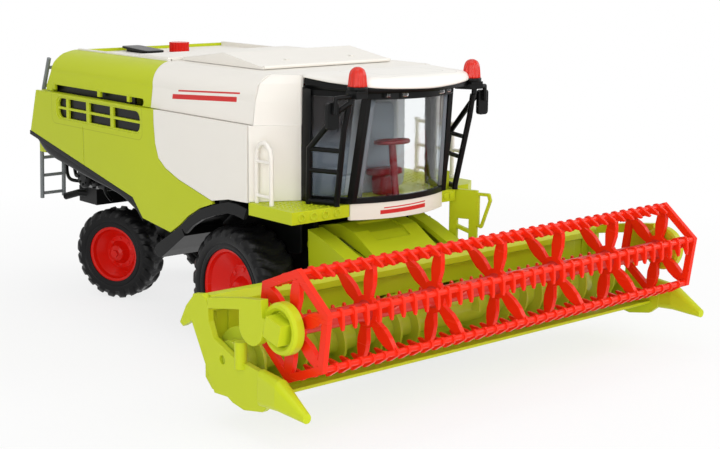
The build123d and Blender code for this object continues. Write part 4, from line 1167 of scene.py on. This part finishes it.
@dataclass
class RearTrim:
    """The lip under the rear panels, the arch liners, the drive and the deck's intake."""

    upper: tuple[tuple[float, float], ...] = (
        (-214.4, 119.4), (-180.0, 111.2), (-144.6, 102.6), (-115.0, 95.6), (-85.1, 88.6),
        (-72.0, 79.0))
    lower: tuple[tuple[float, float], ...] = (
        (-214.0, 114.0), (-199.0, 103.2), (-170.0, 97.4), (-141.3, 92.6), (-100.0, 86.2),
        (-74.0, 76.4))
    outside: float = 79.3
    drum: Vec = (-176.0, -54.0, 87.0)
    bolt_ring: float = 5.6
    bolt_face: float = -9.2
    pipe: float = 1.3
    pipes: tuple[tuple[Vec, ...], ...] = (
        ((-196, -58, 99), (-192, -60, 90), (-185, -62, 86.5), (-178, -60, 95), (-170, -56, 98)),
        ((-203, -60, 98), (-200, -62, 88), (-193, -63, 83), (-184, -58, 82), (-178, -52, 80)),
        ((-166, -50, 98), (-160, -54, 88), (-158, -55, 78), (-162, -48, 70)))
    block_size: Vec = (16.0, 12.0, 12.0)
    block_at: Vec = (-168.0, -46.0, 83.0)
    liner_size: Vec = (86.0, 1.6, 30.0)
    liner_at: Vec = (16.0, 46.6, 82.0)
    cover_thick: float = 1.8
    cover_tilt: float = 3.0
    stem_share: float = 0.8
    stem_height: float = 2.2

    def lip(self, side: int) -> Surface:
        """Rounded lip along one side.

        Args:
            side: -1 for the right, 1 for the left.

        Returns:
            The surface: between the upper and the lower line, a section that bulges out and
            rolls under the panel.
        """
        top, foot = (smooth(np.array(line), 8) for line in (self.upper, self.lower))
        t = np.array([0.0, 0.25, 0.55, 0.8, 0.94, 1.0, 0.97, 0.8, 0.4, 0.0])
        depth = np.array([1.2, 0.5, 0.15, 0.0, 0.5, 2.4, 5.0, 5.8, 5.8, 5.8])
        xz = top[:, None] + (foot - top)[:, None] * t[None, :, None]
        y = np.broadcast_to(side * (self.outside - depth), xz.shape[:2])
        return grid(np.stack([xz[..., 0], y, xz[..., 1]], axis=-1))

    def drive(self) -> Surface:
        """Belt drum, bearing housing and moulded pipes over the spreader: the drum's profile turned
        about Y, bolts on a circle, round pipes along smooth lines and a rounded block.

        Returns:
            All of it as one surface.
        """
        drum = np.array([[2.5, -9.0], [7.5, -9.0], [8.2, -8.4], [8.2, -6.6], [6.6, -6.2],
                         [6.4, -1.0], [8.2, -0.6], [8.2, 1.0], [6.0, 1.4], [5.6, 8.0],
                         [3.0, 8.4]])
        x, y, z = self.drum
        pieces = [turned(drum, 36, about_y=True).moved(spot(x, y, z))]
        turn = circle(8)
        bolts = np.stack([x + self.bolt_ring * np.cos(turn), 0 * turn + (y + self.bolt_face),
                          z + self.bolt_ring * np.sin(turn)], axis=1)
        bolt = turned(np.array([[0.9, 0.6], [0.9, -0.2], [0.6, -0.6]]), 8, about_y=True)
        pieces.append(bolt.repeated(placed(bolts)))
        for knots in self.pipes:
            path = smooth(np.array(knots, dtype=float), 8)
            pieces.append(swept(path, self.pipe, 10, (0.1, 1, 0.2)))
        block = cushion(self.block_size, 7.0, 32, 16).moved(spot(*self.block_at))
        return joined(*pieces, block)

    def liner(self, side: int) -> Surface:
        """Arch liner behind a front wheel: an upright sheet under the body."""
        x, y, z = self.liner_at
        return cushion(self.liner_size, 12.0, 48, 20).moved(spot(x, side * y, z))

    def build(self) -> None:
        """Build the lips, the liners, the drive and the intake's thin cover."""
        shown("skirt_lips", joined(self.lip(-1), self.lip(1)), Finish.BLACK)
        shown("arch_liners", joined(self.liner(-1), self.liner(1)), Finish.BLACK)
        shown("rear_drive", self.drive(), Finish.BLACK)
        low, high = box_mm("deck_intake")
        wide, long, _ = high - low
        x, y = (low[:2] + high[:2]) / 2
        wedge = cushion((wide, long, self.cover_thick), 8.0, 40, 10)
        wedge = wedge.moved(spot(x, y, low[2] + self.stem_height, tilt=self.cover_tilt))
        share = self.stem_share
        stem = cushion((wide * share, long * share, self.stem_height), 8.0, 40, 10)
        stem = stem.moved(spot(x, y, low[2] + 1.0))
        cover = shown("intake_cover", joined(wedge, stem), Finish.BLACK)
        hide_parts("deck_intake")


# ---- studio
@dataclass
class Studio:
    """Pale floor, soft lamps and the pale surroundings; lengths in metres."""

    ambient: float = 0.46
    floor_rings: tuple[float, ...] = (0.0, 0.2, 0.5, 1.0, 2.0, 4.0, 8.0)
    floor_drop: float = 0.02  # in millimetres
    near_white: float = 0.78  # share of pure white under the toy
    far_white: float = 0.22  # and what the distance adds to it
    white_start: float = 0.2
    white_rate: float = 2.6
    target: Vec = (0.0, 0.0, 0.08)
    lamps: tuple[tuple[str, Vec, float, float], ...] = (
        ("top_lamp", (0.1, -0.3, 1.6), 1.4, 8.0), ("corner_lamp", (0.8, -1.0, 0.42), 0.8, 5.4),
        ("front_lamp", (1.4, 0.0, 0.4), 0.8, 4.5), ("far_lamp", (0.9, 1.2, 0.8), 0.9, 7.5))

    def paper(self) -> Material:
        """White paper mixed with pure white, of which there is more the farther it is from the
        toy, on the rays by which it is seen.

        Returns:
            The paper's material.
        """
        material, g, place = blank("floor_paper")
        fibre = g.add("TexNoise", Vector=place, Scale=900.0, Detail=3.0)
        bump = g.add("Bump", Strength=0.03, Distance=0.0005, Height=fibre.outputs[0])
        paper = g.add("BsdfPrincipled", Base_Color=(0.93, 0.93, 0.93, 1.0), Roughness=0.9,
                      Normal=bump.outputs[0])
        white = g.add("Emission", Color=PLAIN_WHITE, Strength=1.0)
        away = g.add("VectorMath", {"operation": "LENGTH"}, i0=place).outputs["Value"]
        spread = g.math("*", g.math("-", away, self.white_start), self.white_rate, clamp=True)
        white_share = g.math("+", self.near_white, g.math("*", spread, self.far_white))
        share = g.math("*", g.seen(), white_share)
        mixed = g.add("MixShader", i0=share, i1=paper.outputs[0], i2=white.outputs[0])
        g.add("OutputMaterial", Surface=mixed.outputs[0])
        return material

    def floor(self) -> None:
        """Build the floor: a disc as a grid of radius and angle."""
        radius = np.array(self.floor_rings)[:, None] / MM
        angle = circle(64)[None, :]
        points = np.stack([radius * np.cos(angle), radius * np.sin(angle),
                           0 * radius * angle - self.floor_drop], axis=-1)
        disc = meshed("studio_floor", grid(points, caps=False), self.paper())
        linked("studio_floor", disc)

    def world(self) -> None:
        """White surroundings for the camera and reflections, softer light for the rest."""
        world = bpy.data.worlds.new("studio_white")
        world.use_nodes = True
        world.node_tree.nodes.clear()
        g = Graph(world.node_tree)
        strength = g.math("+", g.math("*", g.seen(), 1.0 - self.ambient), self.ambient)
        back = g.add("Background", Color=PLAIN_WHITE, Strength=strength)
        g.add("OutputWorld", Surface=back.outputs[0])
        bpy.context.scene.world = world

    def lamp(self, name: str, at: Vec, size: float, power: float) -> None:
        """Square soft lamp that looks at the toy.

        Args:
            name: its name.
            at, size: its place and its side in metres.
            power: its power in watts.
        """
        data = bpy.data.lights.new(name, "AREA")
        data.size, data.energy = size, power
        away = (Vector(at) - Vector(self.target)).to_track_quat("Z", "Y")
        linked(name, data).matrix_world = Matrix.Translation(at) @ away.to_matrix().to_4x4()

    def build(self) -> None:
        """Floor, surroundings and lamps."""
        self.floor()
        self.world()
        for lamp in self.lamps:
            self.lamp(*lamp)


@dataclass
class Camera:
    """The camera in front of the machine's right corner; angles in degrees."""

    at: Vec = (0.7409, -0.5884, 0.2600)
    yaw: float = 139.016
    pitch: float = -11.303
    roll: float = 0.489
    lens: float = 71.99
    sensor: float = 36.0
    near: float = 0.01

    def build(self) -> None:
        """Place the camera: its axes are the view direction's cross products, rolled."""
        yaw, pitch, roll = (math.radians(v) for v in (self.yaw, self.pitch, self.roll))
        ahead = np.array([math.cos(pitch) * math.cos(yaw), math.cos(pitch) * math.sin(yaw),
                          math.sin(pitch)])
        right = np.array([math.sin(yaw), -math.cos(yaw), 0.0])
        up = np.cross(right, ahead)
        side = math.cos(roll) * right + math.sin(roll) * up
        top = -math.sin(roll) * right + math.cos(roll) * up
        data = bpy.data.cameras.new("camera")
        data.lens, data.sensor_width, data.clip_start = self.lens, self.sensor, self.near
        camera = linked("camera", data)
        matrix = np.eye(4)
        matrix[:3] = np.column_stack([side, top, -ahead, self.at])
        camera.matrix_world = Matrix(matrix.tolist())
        bpy.context.scene.camera = camera


def main() -> None:
    """Build the scene, sub-assembly by sub-assembly."""
    logging.basicConfig(level=logging.INFO, format="%(name)s %(message)s")
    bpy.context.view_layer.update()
    bpy.context.scene.view_settings.view_transform = "Standard"
    Camera().build()
    Studio().build()
    Mouldings().dress()
    for side in ("right", "left"):
        Tyre(f"front_{side}", rim=27.6, lugs=22, lug=2.0, width=28.0).build()
        Tyre(f"rear_{side}", rim=20.5, lugs=20, lug=1.8, width=22.0).build()
    for assembly in (Platforms(), Beacon(), CabFittings(), CabRoof(), RearTrim()):
        assembly.build()


if __name__ == "__main__":
    main()
